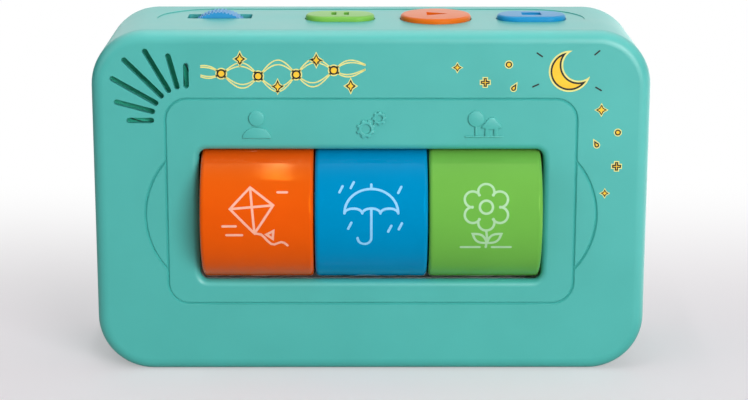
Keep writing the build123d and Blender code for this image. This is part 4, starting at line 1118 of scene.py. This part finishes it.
def button_cap(node_name, signs, material):
    """A packed cap with its sign sunk into the top."""
    cap = packed_copy(node_name, f"{node_name}_cap")
    low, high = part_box(node_name)
    middle_x, middle_y = (low.x + high.x) / 2, (low.y + high.y) / 2
    floor_z = high.z - button_sign_depth
    for outline in signs:
        cutter = prism(
            [(middle_x + x * mm, middle_y + y * mm, floor_z) for x, y in outline],
            (0, 0, 2 * button_sign_depth),
        )
        soften(cutter, button_sign_edge)
        cut(cap, cutter)
    smooth(cap, 30)
    coat(cap, material)
    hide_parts(node_name)
    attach(cap, node_name.split("_")[0])


for button, signs, colour_name, colour, sheen in (
    ("pause", pause_bars, "green", "#74B348", "#E4FFC8"),
    ("play", play_triangle, "orange", "#DE6814", "#FFC894"),
    ("stop", stop_square, "blue", "#1488BE", "#C8ECFF"),
):
    satin_abs = moulded_plastic(
        f"moulded_satin_{colour_name}_abs", colour, 0.36, 0.4 * mm, 0.003 * mm, sheen=sheen, gleam=0.25
    )
    button_cap(f"{button}_button", signs, satin_abs)

# ---------------------------------------------------------------- keypad and button board
# A moulded silicone mat with three hollow domes lies on a small glass-fibre board, which is screwed up
# to posts below the ceiling. On the real mat each dome gives as its button is pressed; here each is split
# off as a piece of its own that stays with the case. A flat white cable carries its signals down to the main
# board.


def sheet_material(name, colour, roughness, fibre, depth):
    """A matt material such as paper, foam, ferrite or silicone: mottled, with a soft uneven bump."""
    material = blank_material(name)
    fibres = noise(material, fibre, detail=5.0, roughness=0.7, distortion=0.6)
    paint = mottled(material, fibres, colour, (0.88, 1.1))
    relief = add(material, "ShaderNodeBump", {"Height": (fibres, "Fac"), "Strength": 1.0, "Distance": depth})
    return surface(
        material,
        {
            "Base Color": (paint, "Color"),
            "Roughness": roughness,
            "Specular IOR Level": 0.3,
            "Normal": (relief, "Normal"),
        },
    )


def circuit_board(name, mask, track, cell):
    """Glass-fibre board under solder mask: copper tracks show through as paler lines with round pads."""
    material = blank_material(name)
    place = add(material, "ShaderNodeTexCoord")
    lines = add(
        material,
        "ShaderNodeTexVoronoi",
        {"Vector": (place, "Object"), "Scale": 1 / cell, "Randomness": 0.35},
        distance="CHEBYCHEV",
        feature="F2",
    )
    copper = ramp(material, (lines, "Distance"), (0.62, 0.66), interpolation_type="SMOOTHSTEP")
    pads = add(
        material,
        "ShaderNodeTexVoronoi",
        {"Vector": (place, "Object"), "Scale": 1 / (1.7 * cell), "Randomness": 0.5},
    )
    pad_shape = ramp(material, (pads, "Distance"), (0.15, 0.12))
    board_colour = add(
        material,
        "ShaderNodeMix",
        {"Factor": (copper, "Result"), "A": srgb(mask), "B": srgb(track)},
        data_type="RGBA",
    )
    colour = add(
        material,
        "ShaderNodeMix",
        {"Factor": (pad_shape, "Result"), "A": (board_colour, "Result"), "B": srgb("#C8C9C4")},
        data_type="RGBA",
    )
    return surface(material, {"Base Color": (colour, "Result"), "Roughness": 0.32, "IOR": 1.5})


grey_silicone = sheet_material("moulded_grey_silicone", "#A9B0B2", 0.55, 0.8 * mm, 0.01 * mm)
green_board = circuit_board("green_solder_mask_board", "#12552F", "#2B7A45", 2.2 * mm)
white_flat_cable = moulded_plastic("extruded_white_pvc_cable", "#D9DAD4", 0.40, 0.6 * mm, 0.003 * mm)

finish("button_board", green_board)
finish("button_ribbon", white_flat_cable)
screws_for("button_board_screws", "-Z")

mat_low, mat_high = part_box("keypad_mat")
mat_thickness = 1.0 * mm
foot_gap = 0.02 * mm
dome_foot = mat_low.z + mat_thickness + foot_gap


def mat_part(name, keep_above):
    """The mat above or below its domes' feet, with the cut closed."""
    part = packed_copy("keypad_mat", name)
    bpy.ops.object.mode_set(mode="EDIT")
    bpy.ops.mesh.select_all(action="SELECT")
    bpy.ops.mesh.bisect(
        plane_co=(0, 0, dome_foot),
        plane_no=(0, 0, 1),
        use_fill=True,
        clear_inner=keep_above,
        clear_outer=not keep_above,
        threshold=weld_distance,
    )
    bpy.ops.object.mode_set(mode="OBJECT")
    coat(part, grey_silicone)
    return part


sheet = mat_part("keypad_sheet", False)
domes = mat_part("keypad_domes", True)
bpy.ops.mesh.separate(type="LOOSE")
domes = sorted(bpy.context.selected_objects, key=lambda dome: dome.data.vertices[0].co.x)
for dome, button in zip(domes, ("pause", "play", "stop"), strict=True):
    dome.name = f"keypad_dome_{button}"
    dome.data.name = dome.name
for part in [sheet] + domes:
    smooth(part, 30)
    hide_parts("keypad_mat")
    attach(part, "case")
for dome, button in zip(domes, ("pause", "play", "stop")):
    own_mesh(dome)

# ---------------------------------------------------------------- volume thumbwheel
# A blue ABS wheel, finely grooved round its rim for the thumb, on the flatted shaft of a small switched
# volume control that is soldered to the main board.

wheel_abs = moulded_plastic("moulded_matt_blue_abs", "#1B8CC6", 0.45, 0.3 * mm, 0.006 * mm)
black_resin = moulded_plastic("moulded_black_phenolic", "#1B1B1C", 0.45, 0.3 * mm, 0.004 * mm)

finish("volume_wheel", wheel_abs)
finish("volume_shaft", bright_steel)
finish("volume_control_body", black_resin)
screws_for("volume_wheel_screw", "-Y", head_height=1.1, radius=0.8, body="volume")

# ---------------------------------------------------------------- main board
# The glass-fibre board behind the drums, screwed to posts of the front housing. It carries two
# magnetic sensors for each drum, the sound chip, amplifier, connectors and a capacitor.

finish("main_board", green_board)
finish("drum_sensors", black_resin)
finish("board_components", black_resin)
screws_for("main_board_screws", "+Y")

# ---------------------------------------------------------------- loudspeaker
# A small loudspeaker behind the grille: a pressed steel basket with a dyed paper cone and a ferrite
# magnet, on a ring of green foam, held by a white ABS strap with two screws.

dyed_paper = sheet_material("pressed_dyed_paper", "#3FC4A4", 0.85, 0.5 * mm, 0.02 * mm)
green_foam = sheet_material("cut_green_foam", "#2A9A80", 0.95, 0.7 * mm, 0.06 * mm)
ferrite = sheet_material("sintered_ferrite", "#3A3A3C", 0.60, 0.4 * mm, 0.01 * mm)
pressed_steel = plated_metal("pressed_zinc_plated_steel", "#A9ACB0", 0.34, 0.8 * mm)

finish("speaker_gasket", green_foam)
finish("speaker_basket", pressed_steel)
finish("speaker_cone", dyed_paper)
finish("speaker_magnet", ferrite)
finish("speaker_strap", white_abs)
screws_for("speaker_strap_screws", "+Y")

# ---------------------------------------------------------------- rear cover
# The shallow back moulding in the same teal ABS, with the battery bay inside it. Five screws in deep
# wells draw it onto the front housing.

finish("rear_cover", teal_abs)
screws_for("case_screws", "+Y")

# ---------------------------------------------------------------- battery compartment
# A flush door of the same teal ABS, held by one screw, closes the bay in the rear cover. In the bay lie
# three lacquered steel AAA cells between zinc-plated spring contacts.

cell_lacquer = moulded_plastic("lacquered_steel_can", "#8C9298", 0.28, 3.0 * mm, 0.0005 * mm)

finish("battery_door", teal_abs)
finish("battery_cells", cell_lacquer)
finish("battery_contacts_left", zinc_steel)
finish("battery_contacts_right", zinc_steel)
screws_for("battery_door_screw", "+Y")
